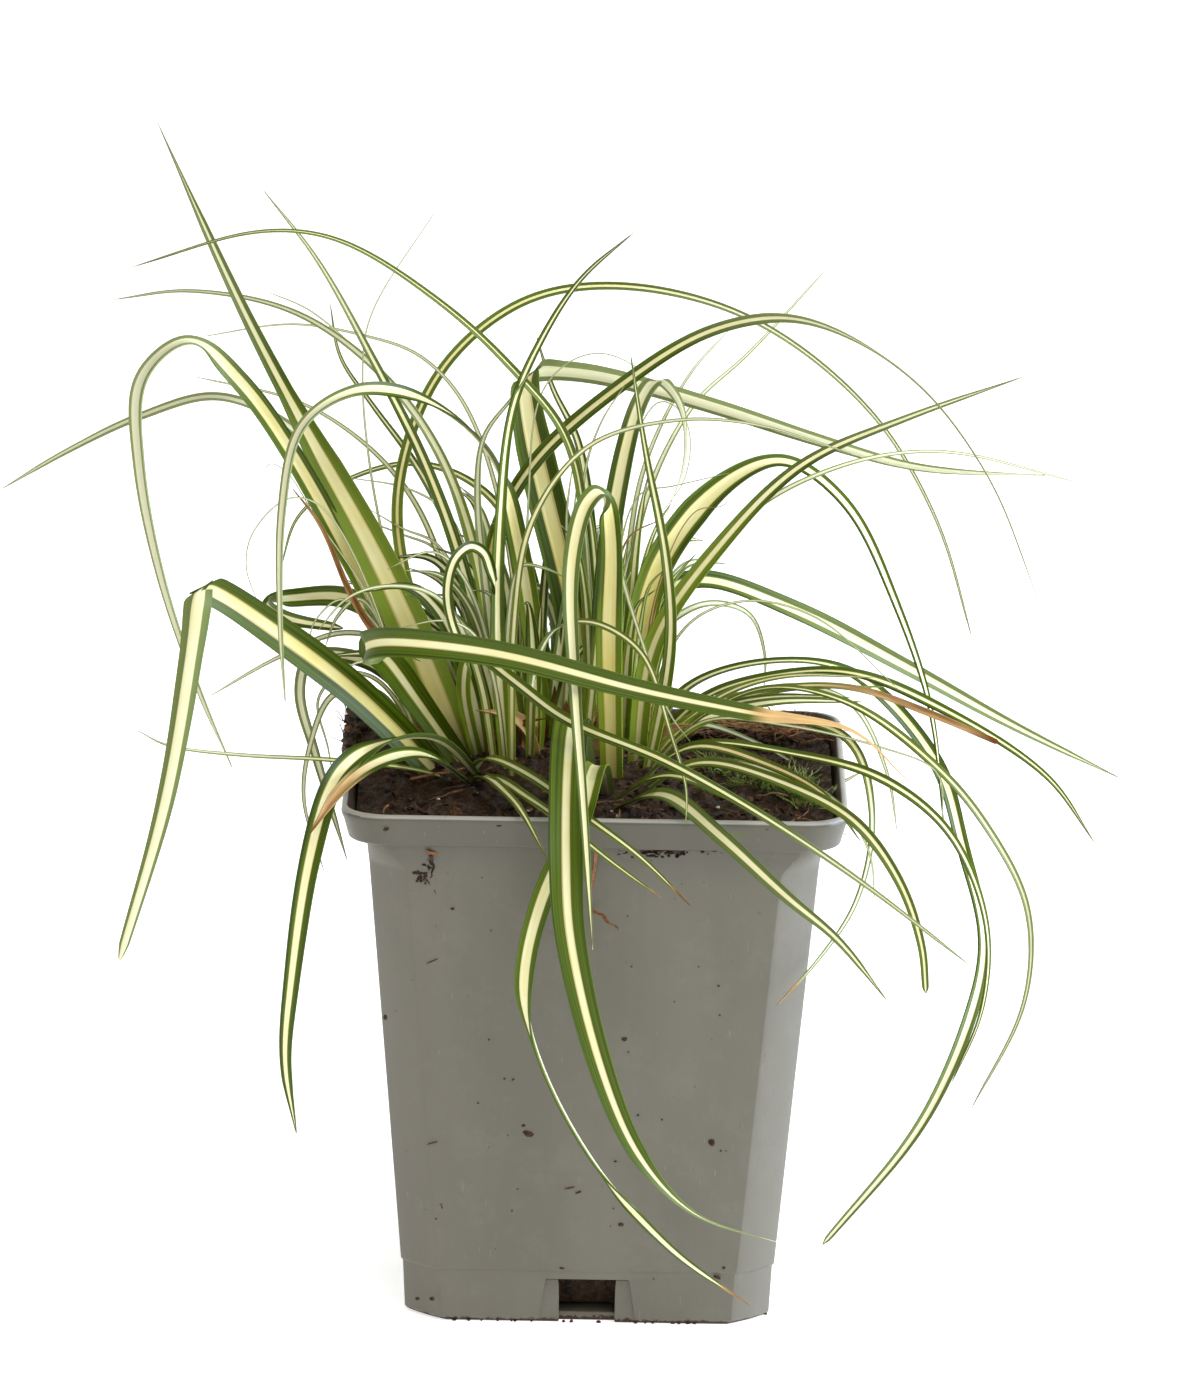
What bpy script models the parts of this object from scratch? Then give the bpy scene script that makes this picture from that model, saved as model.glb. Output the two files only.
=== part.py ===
"""A potted sedge: striped leaves rising from a mound of peat in a square nursery pot.

Frame: metres, +Z up, the pot's flat underside on Z = 0 with its middle at the origin, and the
pot's front side towards -Y.

The pot and the soil are built from level outlines and a grid. Every leaf is a thin, slightly
channelled strip: four-sided sections set along a smooth curve through a few chosen points.
"""

import math
from typing import NamedTuple

import bmesh
import bpy
from mathutils import Vector

MM = 0.001
GAP = 0.3 * MM

# Pot: outer half widths and heights of the levels that give its profile
POT_HEIGHT = 96 * MM
RIM_HALF = 45.0 * MM
RIM_CORNER = 7.6 * MM
RIM_TOP = 1.2 * MM
SKIRT_HEIGHT = 5.9 * MM
SKIRT_HALF_LOW = 43.6 * MM
BODY_HALF_TOP = 40.4 * MM
BODY_HALF_STEP = 33.6 * MM
BODY_HALF_FOOT = 32.8 * MM
BODY_CORNER = 6.6 * MM
FOOT_STEP_Z = 10.0 * MM
FOOT_STEP_DEPTH = 0.35 * MM
FOOT_EDGE = 0.9 * MM
WALL = 1.1 * MM
FLOOR = 1.6 * MM
INNER_CORNER = 6.2 * MM
CORNER_STEPS = 4
CORNER_FLATNESS = 0.75
POT_SHARP_ANGLE = math.radians(25)

# Drain notch in the middle of each side, and the wider, shallow recess round it
NOTCH_WIDTH = 10.0 * MM
NOTCH_TOP_Z = 8.2 * MM
RECESS_WIDTH_LOW = 18.0 * MM
RECESS_WIDTH_HIGH = 15.0 * MM
RECESS_DEPTH = 0.5 * MM

# Soil: its level, the crown's mound and the peat heaped at the left
SOIL_LEVEL = 92.0 * MM
CROWN_RISE = 6.0 * MM
CROWN_CENTRE = (-9.0 * MM, 2.0 * MM)
CROWN_SPREAD = (30.0 * MM, 24.0 * MM)
HEAP_RISE = 6.0 * MM
HEAP_CENTRE = (-39.0 * MM, 16.0 * MM)
HEAP_SPREAD = (9.0 * MM, 22.0 * MM)
SOIL_CELLS = 14

# Moss: a low cushion on the soil, right of the crown. Its profile is (share of radius, share of height)
MOSS_CENTRE = (34.0 * MM, -12.0 * MM)
MOSS_RADIUS = 5.5 * MM
MOSS_HEIGHT = 2.4 * MM
MOSS_FACETS = 14
MOSS_PROFILE = ((1.0, 0.0), (1.0, 0.3), (0.8, 0.7), (0.45, 1.0))

# Leaves: a channelled strip that is narrower at its base. CHANNEL is the edges' rise over the width
LEAF_THICKNESS = 0.5 * MM
CHANNEL = 0.10
BASE_WIDTH = 0.7
WIDEST_AT = 0.2
STEPS_PER_SPAN = 2
SEAT_GAP = 0.4 * MM

# Ways that a leaf's upper face looks
FRONT = (0.0, -1.0, 0.25)
FRONT_UP = (0.0, -0.7, 0.7)
UP = (0.0, -0.2, 1.0)
BACK_UP = (0.0, 0.5, 1.0)
LEFT = (-1.0, 0.3, 0.1)
LEFT_FRONT = (-0.5, -0.8, 0.2)
RIGHT_FRONT = (0.6, -0.8, 0.2)


class Finish(NamedTuple):
    """A plain surface: its colour, roughness and metallic value."""

    colour: tuple
    roughness: float
    metallic: float = 0.0


GREY_PLASTIC = Finish((0.19, 0.18, 0.16), 0.5)
PEAT = Finish((0.035, 0.025, 0.018), 0.95)
MOSS = Finish((0.10, 0.16, 0.03), 0.9)
STRIPED_LEAF = Finish((0.30, 0.38, 0.10), 0.42)
FRESH_LEAF = Finish((0.25, 0.40, 0.05), 0.42)
DRY_LEAF = Finish((0.45, 0.24, 0.10), 0.7)


class Leaf(NamedTuple):
    """One leaf, in millimetres.

    The route starts at (x, y) on the soil and goes on through (x, y, z) points of the midrib.
    The upper face looks along the facings, which are spread evenly from the base to the tip.
    A taper of 1 narrows it evenly, and a larger one keeps it wide for longer.
    """

    name: str
    width: float
    taper: float
    route: tuple
    facings: tuple = (FRONT,)
    tip: float = 0.12
    finish: Finish = STRIPED_LEAF


LEFT_LEAVES = (
    Leaf("leaf_left_tall", 6.6, 1.0, (
        (-24, 0), (-31, 1, 113), (-41, 3, 134), (-52, 6, 153), (-65, 12, 176), (-81, 22, 208)), tip=0.06),
    Leaf("leaf_left_arch", 5.4, 1.6, (
        (-27, 3), (-38, 4, 118), (-54, 2, 149), (-65, -4, 166), (-74, -10, 174), (-82, -16, 168),
        (-82, -20, 154), (-78, -22, 134), (-71, -22, 113), (-65, -22, 99)),
        (FRONT, FRONT, LEFT_FRONT, LEFT, LEFT), tip=0.1),
    Leaf("leaf_left_far", 3.4, 1.8, (
        (-25, 6), (-35, 10, 121), (-46, 16, 142), (-57, 24, 152), (-70, 30, 156), (-84, 36, 151),
        (-98, 42, 143), (-110, 46, 135)), (FRONT, FRONT_UP, FRONT)),
    Leaf("leaf_left_bent", 6.2, 2.2, (
        (-27, -8), (-42, -17, 111), (-56, -26, 124), (-67, -33, 133), (-71, -37, 130), (-73, -39, 119),
        (-76, -41, 97), (-84, -42, 68)),
        (FRONT, FRONT, LEFT_FRONT, LEFT_FRONT, LEFT_FRONT), tip=0.3),
    Leaf("leaf_left_folded", 4.4, 2.6, (
        (-23, 9), (-31, 14, 112), (-45, 20, 121), (-55, 20, 121), (-60, 14, 121), (-56, 7, 120),
        (-46, 4, 119)), (FRONT, FRONT, LEFT_FRONT, FRONT), tip=0.3),
    Leaf("leaf_left_low_back", 3.0, 2.0, (
        (-26, 13), (-40, 18, 109), (-52, 20, 110), (-54, 18, 104), (-51, 15, 93), (-45, 12, 74)),
        (FRONT_UP, LEFT_FRONT, FRONT)),
    Leaf("leaf_left_fine_out", 1.8, 1.4, (
        (-24, 11), (-35, 16, 112), (-46, 14, 116), (-58, 10, 112), (-70, 4, 106)), (UP, FRONT)),
    Leaf("leaf_left_hanging", 4.2, 1.5, (
        (-9, 8), (-14, 4, 132), (-20, -4, 153), (-31, -12, 164), (-43, -22, 168), (-53, -32, 163),
        (-56, -38, 149), (-56, -42, 130), (-55, -43, 116)),
        (FRONT, FRONT, LEFT_FRONT, LEFT, LEFT_FRONT)),
    Leaf("leaf_left_thin_level", 1.6, 1.6, (
        (-23, -11), (-32, -14, 97), (-47, -20, 100), (-63, -30, 103), (-76, -36, 106), (-81, -38, 109)),
        (UP, FRONT_UP)),
)

CENTRE_LEAVES = (
    Leaf("leaf_centre_tall_arch", 2.5, 1.6, (
        (-22, 14), (-33, 22, 117), (-37, 28, 138), (-30, 34, 160), (-15, 38, 173), (3, 40, 176),
        (27, 42, 170), (49, 44, 153), (62, 46, 132), (69, 46, 110))),
    Leaf("leaf_centre_right_arch", 3.4, 1.3, (
        (-18, 18), (-20, 14, 130), (-13, 8, 148), (3, 0, 165), (20, -6, 177), (36, -12, 180),
        (55, -18, 171), (69, -22, 154), (78, -24, 133))),
    Leaf("leaf_centre_wide", 7.2, 2.4, (
        (-1, 12), (-5, 13, 123), (-10, 16, 142), (-14, 19, 158), (-12, 22, 162), (3, 24, 161),
        (22, 26, 156), (40, 28, 150), (58, 30, 145), (81, 30, 144)), tip=0.06),
    Leaf("leaf_centre_pale", 3.2, 1.3, (
        (-16, -6), (-18, -8, 120), (-18, -10, 142), (-16, -12, 163), (-11, -14, 176), (-4, -18, 188),
        (5, -22, 197)), (FRONT, RIGHT_FRONT, FRONT), finish=FRESH_LEAF),
    Leaf("leaf_leaning_long", 3.0, 1.4, (
        (-19, 1), (-23, -1, 126), (-31, -3, 150), (-41, -4, 170), (-51, -5, 188), (-61, -6, 201)), tip=0.08),
    Leaf("leaf_leaning_pale", 2.6, 1.1, (
        (-17, 4), (-22, 4, 132), (-29, 6, 151), (-39, 10, 164), (-55, 18, 174), (-75, 28, 176),
        (-89, 34, 173)), tip=0.1, finish=FRESH_LEAF),
    Leaf("leaf_upper_sweep", 2.4, 1.0, (
        (0, 7), (-2, 2, 133), (-6, -4, 156), (-16, -10, 170), (-29, -16, 183), (-47, -22, 195),
        (-61, -26, 197), (-83, -30, 191)), tip=0.1),
    Leaf("leaf_leaning_dark", 2.4, 1.3, (
        (-20, 20), (-25, 26, 127), (-33, 30, 143), (-42, 36, 154), (-48, 40, 162), (-50, 44, 171)), tip=0.1),
    Leaf("leaf_fine_bow_left", 1.6, 1.2, (
        (-22, 17), (-29, 24, 128), (-38, 34, 142), (-54, 44, 152), (-75, 54, 155))),
    Leaf("leaf_low_bow_left", 2.2, 1.4, (
        (-8, 16), (-12, 26, 124), (-20, 36, 137), (-33, 46, 141), (-47, 54, 136), (-56, 58, 128),
        (-59, 60, 118)), (FRONT, FRONT_UP, FRONT)),
    Leaf("leaf_centre_hairpin", 5.6, 1.0, (
        (3, -10), (2, -14, 122), (2, -18, 141), (0, -26, 151), (-3, -32, 149), (-5, -36, 139),
        (-4, -47, 121), (-2, -62, 102), (0, -68, 78)),
        (FRONT, FRONT, FRONT_UP, FRONT, FRONT, FRONT)),
    Leaf("leaf_centre_cross", 2.6, 1.5, (
        (9, -6), (13, -9, 119), (12, -12, 136), (8, -14, 156), (5, -16, 174))),
    Leaf("leaf_centre_folded_top", 5.8, 3.0, (
        (1, 1), (1, -2, 126), (3, -4, 147), (7, -6, 164), (10, -8, 168), (14, -10, 164), (15, -10, 154),
        (12, -10, 144)), (FRONT, FRONT, FRONT, FRONT_UP, FRONT, FRONT), tip=0.1),
    Leaf("leaf_centre_spotted", 3.0, 1.4, (
        (1, 14), (-1, 18, 129), (-4, 22, 150), (-9, 24, 160), (-12, 26, 169)), tip=0.15),
    Leaf("leaf_small_hoop", 3.6, 1.2, (
        (-13, 0), (-19, -4, 125), (-22, -14, 136), (-24, -19, 139), (-26, -23, 136), (-26, -25, 128),
        (-23, -25, 122)), (FRONT, FRONT, UP, LEFT_FRONT, FRONT), tip=0.5, finish=FRESH_LEAF),
    Leaf("leaf_centre_low_arch", 1.9, 1.6, (
        (-12, -4), (-11, -16, 117), (-7, -24, 126), (0, -30, 128), (8, -36, 124), (13, -44, 112),
        (16, -50, 103), (16, -51, 96)), (FRONT, UP, FRONT, FRONT)),
    Leaf("leaf_fine_up_right", 1.7, 1.2, (
        (3, 17), (6, 24, 136), (9, 28, 148), (16, 34, 161), (23, 40, 168))),
    Leaf("leaf_fine_far_up_right", 1.8, 1.0, (
        (5, 20), (7, 30, 133), (16, 40, 153), (27, 50, 162), (41, 60, 176))),
    Leaf("leaf_fine_right_bow", 1.6, 1.2, (
        (-15, -10), (-15, -16, 125), (-12, -22, 145), (-2, -28, 160), (14, -34, 166), (28, -38, 166),
        (44, -42, 162))),
)

RIGHT_LEAVES = (
    Leaf("leaf_right_big_arch", 5.4, 2.0, (
        (6, 4), (7, 6, 115), (11, 10, 131), (22, 16, 144), (33, 20, 148), (45, 24, 139), (54, 26, 121),
        (61, 26, 101), (64, 24, 79)), (FRONT, FRONT, FRONT_UP, RIGHT_FRONT, RIGHT_FRONT), tip=0.08),
    Leaf("leaf_right_long", 4.4, 1.0, (
        (7, -3), (10, -4, 119), (22, -6, 138), (36, -8, 153), (54, -10, 162), (75, -10, 170))),
    Leaf("leaf_right_fine_bow", 1.5, 1.3, (
        (9, 12), (12, 14, 116), (25, 17, 137), (43, 20, 147), (62, 26, 149), (87, 34, 142))),
    Leaf("leaf_right_low_broad", 4.6, 1.9, (
        (3, 24), (8, 30, 116), (17, 36, 122), (36, 44, 115), (57, 52, 103), (77, 58, 91), (98, 62, 80)),
        (FRONT, FRONT_UP, FRONT, FRONT), tip=0.08),
    Leaf("leaf_right_back_hook", 1.8, 1.8, (
        (2, 28), (8, 38, 108), (19, 48, 115), (28, 54, 112), (31, 56, 104), (31, 56, 97))),
    Leaf("leaf_right_dark_over", 3.0, 2.0, (
        (7, 14), (17, 24, 105), (34, 32, 108), (48, 38, 104), (63, 42, 87), (68, 42, 71), (72, 38, 55),
        (70, 30, 43), (61, 20, 24), (43, 8, 4)), (UP, UP, FRONT, RIGHT_FRONT, FRONT, FRONT), tip=0.2),
    Leaf("leaf_right_far_low", 3.0, 1.8, (
        (8, 8), (19, 12, 105), (31, 14, 109), (46, 14, 110), (62, 14, 104), (82, 12, 92), (91, 10, 80)),
        (UP, UP, FRONT_UP, FRONT)),
    Leaf("leaf_right_old_brown", 2.6, 2.4, (
        (8, 4), (19, 4, 105), (31, 4, 109), (46, 2, 110), (60, 0, 106), (73, -2, 101)),
        (UP, FRONT_UP, FRONT), tip=0.4, finish=DRY_LEAF),
    Leaf("leaf_right_dark_low", 2.6, 1.6, (
        (9, 0), (19, -2, 105), (31, -4, 111), (46, -8, 109), (61, -12, 99), (70, -14, 89), (78, -15, 74),
        (78, -14, 56), (69, -10, 35)), (UP, UP, RIGHT_FRONT, FRONT, FRONT)),
    Leaf("leaf_right_level_tan", 2.6, 1.5, (
        (7, -10), (17, -16, 103), (35, -22, 103), (51, -27, 100), (63, -29, 91), (70, -29, 75),
        (70, -26, 58), (65, -22, 43)), (UP, UP, RIGHT_FRONT, RIGHT_FRONT, FRONT)),
    Leaf("leaf_right_drop_thin", 2.0, 1.6, (
        (9, 18), (19, 22, 99), (35, 20, 100), (46, 12, 98), (50, -4, 88), (47, -22, 76), (40, -34, 68),
        (33, -42, 62)), (UP, FRONT_UP, RIGHT_FRONT, FRONT)),
    Leaf("leaf_right_back_drop", 1.8, 1.6, (
        (8, 24), (21, 32, 99), (36, 38, 102), (47, 42, 98), (54, 45, 84), (56, 45, 73)),
        (UP, FRONT_UP, FRONT)),
)

FRONT_LEAVES = (
    Leaf("leaf_front_band", 6.0, 4.0, (
        (-23, -4), (-32, -11, 109), (-40, -23, 120), (-44, -34, 124), (-38, -43, 127), (-17, -47, 126),
        (8, -50, 121), (29, -52, 118), (45, -52, 115), (55, -50, 105)),
        (FRONT, FRONT, LEFT_FRONT, FRONT, FRONT, FRONT, FRONT), tip=0.1),
    Leaf("leaf_front_left_brown_tip", 2.8, 2.4, (
        (-21, -14), (-30, -24, 101), (-38, -36, 101), (-45, -51, 98), (-50, -60, 94)),
        (UP, FRONT_UP, FRONT), tip=0.25, finish=DRY_LEAF),
    Leaf("leaf_front_left_hanging", 4.8, 2.8, (
        (-20, -11), (-28, -20, 104), (-38, -32, 106), (-46, -48, 103), (-50, -54, 90), (-53, -55, 68),
        (-54, -53, 53), (-52, -50, 39)), (UP, FRONT_UP, FRONT, FRONT, FRONT), tip=0.25),
    Leaf("leaf_front_long_thin", 3.0, 1.3, (
        (-21, -1), (-24, -10, 111), (-22, -20, 120), (-15, -32, 118), (-5, -42, 113), (12, -50, 108),
        (29, -56, 100), (47, -60, 89), (66, -62, 75)), (FRONT, FRONT_UP, FRONT, FRONT)),
    Leaf("leaf_front_right_tan", 2.6, 2.0, (
        (5, -16), (17, -26, 105), (30, -34, 104), (41, -42, 100), (47, -46, 93)), (UP, FRONT_UP, FRONT),
        finish=DRY_LEAF),
    Leaf("leaf_front_right_cut", 2.8, 3.0, (
        (6, -19), (18, -30, 103), (33, -40, 102), (46, -48, 97), (54, -52, 87), (58, -53, 76),
        (59, -52, 67)), (UP, FRONT_UP, FRONT, FRONT), tip=0.5),
    Leaf("leaf_front_right_mid", 2.6, 1.6, (
        (2, -20), (12, -32, 101), (22, -44, 101), (33, -52, 97), (45, -56, 89)), (UP, FRONT_UP, FRONT)),
    Leaf("leaf_front_right_wide", 4.0, 2.0, (
        (2, -24), (12, -38, 99), (22, -52, 95), (34, -60, 86), (43, -62, 79), (52, -62, 68)),
        (UP, FRONT_UP, FRONT, FRONT)),
    Leaf("leaf_front_hanging_wide", 7.0, 1.7, (
        (-2, -13), (-4, -26, 109), (-5, -46, 106), (-5, -60, 93), (-4, -63, 79), (2, -64, 55),
        (9, -63, 39), (19, -60, 28), (34, -56, 22)),
        (BACK_UP, UP, FRONT, FRONT, FRONT, FRONT), tip=0.06),
    Leaf("leaf_front_hanging_second", 4.6, 2.0, (
        (2, -17), (0, -38, 104), (-3, -53, 97), (-9, -55, 84), (-12, -55, 69), (-9, -52, 54),
        (1, -48, 34), (15, -44, 17), (29, -40, 6)), (BACK_UP, FRONT_UP, FRONT, FRONT, FRONT), tip=0.1),
    Leaf("leaf_front_small_upper", 2.4, 1.8, (
        (-22, -16), (-20, -22, 102), (-12, -34, 101), (-1, -48, 98), (8, -53, 92), (17, -55, 84)),
        (UP, FRONT_UP, FRONT)),
    Leaf("leaf_front_small_lower", 2.2, 1.8, (
        (-19, -19), (-14, -33, 98), (-8, -46, 98), (3, -54, 91), (12, -56, 85)), (UP, FRONT_UP, FRONT)),
    Leaf("leaf_front_small_short", 2.2, 2.2, (
        (-21, -26), (-18, -40, 98), (-13, -49, 95), (-8, -53, 86)), (UP, FRONT)),
)

OLD_LEAVES = (
    Leaf("leaf_old_upright", 2.4, 1.2, (
        (-28, -2), (-36, -2, 113), (-44, -4, 126), (-50, -6, 140), (-55, -8, 147)), tip=0.2,
        finish=DRY_LEAF),
    Leaf("leaf_old_fallen", 3.4, 2.0, (
        (14, 30), (20, 30, 96), (29, 29, 96), (37, 28, 95)), (UP,), tip=0.4, finish=DRY_LEAF),
)


def clear_scene():
    """Remove every object that the file starts with."""
    for thing in list(bpy.data.objects):
        bpy.data.objects.remove(thing, do_unlink=True)


def make_material(name, finish):
    """Make a Principled material for one sub-part."""
    material = bpy.data.materials.new(name)
    material.use_nodes = True
    shader = material.node_tree.nodes["Principled BSDF"]
    shader.inputs["Base Color"].default_value = (*finish.colour, 1.0)
    shader.inputs["Roughness"].default_value = finish.roughness
    shader.inputs["Metallic"].default_value = finish.metallic
    return material


def add_object(name, mesh_builder, finish, smooth_angle=None):
    """Turn a bmesh into a named object with outward faces and its own material."""
    bmesh.ops.recalc_face_normals(mesh_builder, faces=mesh_builder.faces)
    mesh = bpy.data.meshes.new(name)
    mesh_builder.to_mesh(mesh)
    mesh_builder.free()
    mesh.materials.append(make_material(name, finish))
    if smooth_angle is not None:
        mesh.shade_smooth()
        mesh.set_sharp_from_angle(angle=smooth_angle)
    thing = bpy.data.objects.new(name, mesh)
    bpy.context.scene.collection.objects.link(thing)
    return thing


# ---------------------------------------------------------------- pot

def square_outline(half, corner, flatness, z):
    """List the points of a level square whose corners go from round (0) to chamfered (1)."""
    points = []
    for quarter in range(4):
        turn = math.radians(90 * quarter)
        start, end = Vector((half, half - corner)), Vector((half - corner, half))
        centre = Vector((half - corner, half - corner))
        for step in range(CORNER_STEPS + 1):
            share = step / CORNER_STEPS
            angle = math.radians(90) * share
            arc = centre + corner * Vector((math.cos(angle), math.sin(angle)))
            point = arc.lerp(start.lerp(end, share), flatness)
            points.append((point.x * math.cos(turn) - point.y * math.sin(turn),
                           point.x * math.sin(turn) + point.y * math.cos(turn), z))
    return points


def pot_levels():
    """List the pot's outlines, from under its floor, up the outside and down the inside."""
    skirt_z = POT_HEIGHT - SKIRT_HEIGHT
    body = (BODY_CORNER, CORNER_FLATNESS)
    rim = (RIM_CORNER, 0.0)
    return [
        (BODY_HALF_FOOT - FOOT_EDGE, *body, 0.0),
        (BODY_HALF_FOOT, *body, FOOT_EDGE),
        (BODY_HALF_STEP - FOOT_STEP_DEPTH, *body, FOOT_STEP_Z - FOOT_STEP_DEPTH),
        (BODY_HALF_STEP, *body, FOOT_STEP_Z),
        (BODY_HALF_TOP, *body, skirt_z),
        (SKIRT_HALF_LOW, *rim, skirt_z),
        (RIM_HALF, *rim, POT_HEIGHT - RIM_TOP / 2),
        (RIM_HALF - RIM_TOP / 2, *rim, POT_HEIGHT),
        (RIM_HALF - RIM_TOP, *rim, POT_HEIGHT),
        (SKIRT_HALF_LOW - WALL, *rim, skirt_z + WALL),
        (BODY_HALF_TOP - WALL, INNER_CORNER, CORNER_FLATNESS, skirt_z),
        (BODY_HALF_FOOT - WALL, INNER_CORNER, CORNER_FLATNESS, FLOOR),
    ]


def loft(builder, outlines):
    """Bridge level outlines one after another and close both ends."""
    rings = []
    for outline in outlines:
        ring = [builder.verts.new(point) for point in outline]
        rings.append(ring)
    for low, high in zip(rings, rings[1:]):
        count = len(low)
        for index in range(count):
            after = (index + 1) % count
            builder.faces.new((low[index], low[after], high[after], high[index]))
    builder.faces.new(list(reversed(rings[0])))
    builder.faces.new(rings[-1])
    return rings


def add_cutter(name, outline_low, outline_high):
    """Add a hidden block between two outlines, for a Boolean to cut with."""
    builder = bmesh.new()
    loft(builder, (outline_low, outline_high))
    cutter = add_object(name, builder, GREY_PLASTIC)
    cutter.hide_render = True
    cutter.display_type = "WIRE"
    return cutter


def cut(target, cutter):
    """Subtract a cutter from an object."""
    modifier = target.modifiers.new(cutter.name, "BOOLEAN")
    modifier.operation = "DIFFERENCE"
    modifier.solver = "EXACT"
    modifier.object = cutter


def side_block(half_low, half_high, near, far, z_low, z_high):
    """Give the low and high outlines of a block that stands across the -Y side."""
    outlines = []
    for half, z in ((half_low, z_low), (half_high, z_high)):
        outlines.append([(-half, far, z), (half, far, z), (half, near, z), (-half, near, z)])
    return outlines


def build_pot():
    """Build the pot: tapered walls, turned-out rim and a notched recess at each side's foot."""
    builder = bmesh.new()
    loft(builder, [square_outline(*level) for level in pot_levels()])
    pot = add_object("pot", builder, GREY_PLASTIC, POT_SHARP_ANGLE)
    outside = -BODY_HALF_TOP
    notch = side_block(NOTCH_WIDTH / 2, NOTCH_WIDTH / 2, -BODY_HALF_FOOT + 2 * WALL, outside,
                       FLOOR, NOTCH_TOP_Z)
    recess = side_block(RECESS_WIDTH_LOW / 2, RECESS_WIDTH_HIGH / 2, -BODY_HALF_FOOT + RECESS_DEPTH,
                        outside, -FLOOR, NOTCH_TOP_Z)
    for quarter in range(4):
        for kind, outlines in (("recess", recess), ("notch", notch)):
            cutter = add_cutter(f"cutter_{kind}_{quarter}", *outlines)
            cutter.rotation_euler = (0, 0, math.radians(90 * quarter))
            cut(pot, cutter)
    return pot


# ---------------------------------------------------------------- soil and moss

def bump(x, y, centre, spread):
    """Give a smooth hill's height share at a place: 1 on its centre, 0 far away."""
    across = (x - centre[0]) / spread[0]
    along = (y - centre[1]) / spread[1]
    return math.exp(-across * across - along * along)


def soil_height(x, y):
    """Give the height of the soil's surface."""
    mound = CROWN_RISE * bump(x, y, CROWN_CENTRE, CROWN_SPREAD)
    heap = HEAP_RISE * bump(x, y, HEAP_CENTRE, HEAP_SPREAD)
    return SOIL_LEVEL + mound + heap


def inner_half(z):
    """Give the half width inside the pot's wall at a height, less the gap to the soil."""
    foot = BODY_HALF_FOOT - WALL
    top = BODY_HALF_TOP - WALL
    share = (z - FLOOR) / (POT_HEIGHT - SKIRT_HEIGHT - FLOOR)
    return foot + (top - foot) * share - GAP


def pull_in_corner(x, y, half, corner):
    """Move a point of a square into the square's chamfered outline."""
    excess = abs(x) + abs(y) - (2 * half - corner)
    if excess <= 0:
        return x, y
    return x - math.copysign(excess / 2, x), y - math.copysign(excess / 2, y)


def build_soil():
    """Build the block of peat: a mounded top, straight sides and a flat foot in the pot."""
    top_half = inner_half(POT_HEIGHT - SKIRT_HEIGHT)
    foot_z = FLOOR + GAP
    foot_share = inner_half(foot_z) / top_half
    builder = bmesh.new()
    bmesh.ops.create_grid(builder, x_segments=SOIL_CELLS, y_segments=SOIL_CELLS, size=top_half)
    for vertex in builder.verts:
        x, y = pull_in_corner(vertex.co.x, vertex.co.y, top_half, BODY_CORNER + WALL)
        vertex.co = (x, y, soil_height(x, y))
    top_faces = list(builder.faces)
    extruded = bmesh.ops.extrude_face_region(builder, geom=top_faces, use_keep_orig=True)
    foot = [item for item in extruded["geom"] if isinstance(item, bmesh.types.BMVert)]
    for vertex in foot:
        vertex.co = (vertex.co.x * foot_share, vertex.co.y * foot_share, foot_z)
    foot_faces = [item for item in extruded["geom"] if isinstance(item, bmesh.types.BMFace)]
    bmesh.ops.dissolve_faces(builder, faces=foot_faces)
    return add_object("soil", builder, PEAT)


def build_moss():
    """Build the moss cushion: a low dome that stands just clear of the soil."""
    x, y = MOSS_CENTRE
    base = max(soil_height(x + dx * MOSS_RADIUS, y + dy * MOSS_RADIUS)
               for dx, dy in ((-1, 0), (1, 0), (0, -1), (0, 1), (0, 0))) + GAP
    builder = bmesh.new()
    outlines = []
    for share, rise in MOSS_PROFILE:
        ring = []
        for index in range(MOSS_FACETS):
            angle = 2 * math.pi * index / MOSS_FACETS
            ring.append((x + share * MOSS_RADIUS * math.cos(angle),
                         y + share * MOSS_RADIUS * math.sin(angle), base + rise * MOSS_HEIGHT))
        outlines.append(ring)
    loft(builder, outlines)
    return add_object("moss_patch", builder, MOSS)


# ---------------------------------------------------------------- leaves

def leaf_points(leaf):
    """Give the leaf's points in metres, with the first one on the soil."""
    x, y = leaf.route[0][0] * MM, leaf.route[0][1] * MM
    start = Vector((x, y, soil_height(x, y)))
    return [start] + [Vector(point) * MM for point in leaf.route[1:]]


def seat_on_soil(section):
    """Move a leaf's first section up or down until its lowest corner just clears the soil."""
    clearance = min(corner.z - soil_height(corner.x, corner.y) for corner in section)
    return [corner + Vector((0, 0, SEAT_GAP - clearance)) for corner in section]


def blend(first, second, first_time, second_time, time):
    """Blend two points by where the time lies between theirs."""
    share = (time - first_time) / (second_time - first_time)
    return first.lerp(second, share)


def span_point(knots, share):
    """Give a point of the centripetal Catmull-Rom curve between the middle two of four knots."""
    times = [0.0]
    for before, after in zip(knots, knots[1:]):
        times.append(times[-1] + math.sqrt((after - before).length))
    time = times[1] + (times[2] - times[1]) * share
    lines = [blend(knots[i], knots[i + 1], times[i], times[i + 1], time) for i in range(3)]
    left = blend(lines[0], lines[1], times[0], times[2], time)
    right = blend(lines[1], lines[2], times[1], times[3], time)
    return blend(left, right, times[1], times[2], time)


def smooth_curve(points):
    """Give evenly many stations per span of the smooth curve through the points."""
    first = points[0] * 2 - points[1]
    last = points[-1] * 2 - points[-2]
    knots = [first, *points, last]
    stations = []
    for index in range(len(points) - 1):
        for step in range(STEPS_PER_SPAN):
            stations.append(span_point(knots[index:index + 4], step / STEPS_PER_SPAN))
    stations.append(points[-1])
    return stations


def length_shares(stations):
    """Give each station's share of the length, 0 at the base and 1 at the tip."""
    lengths = [0.0]
    for before, after in zip(stations, stations[1:]):
        lengths.append(lengths[-1] + (after - before).length)
    return [length / lengths[-1] for length in lengths]


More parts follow.
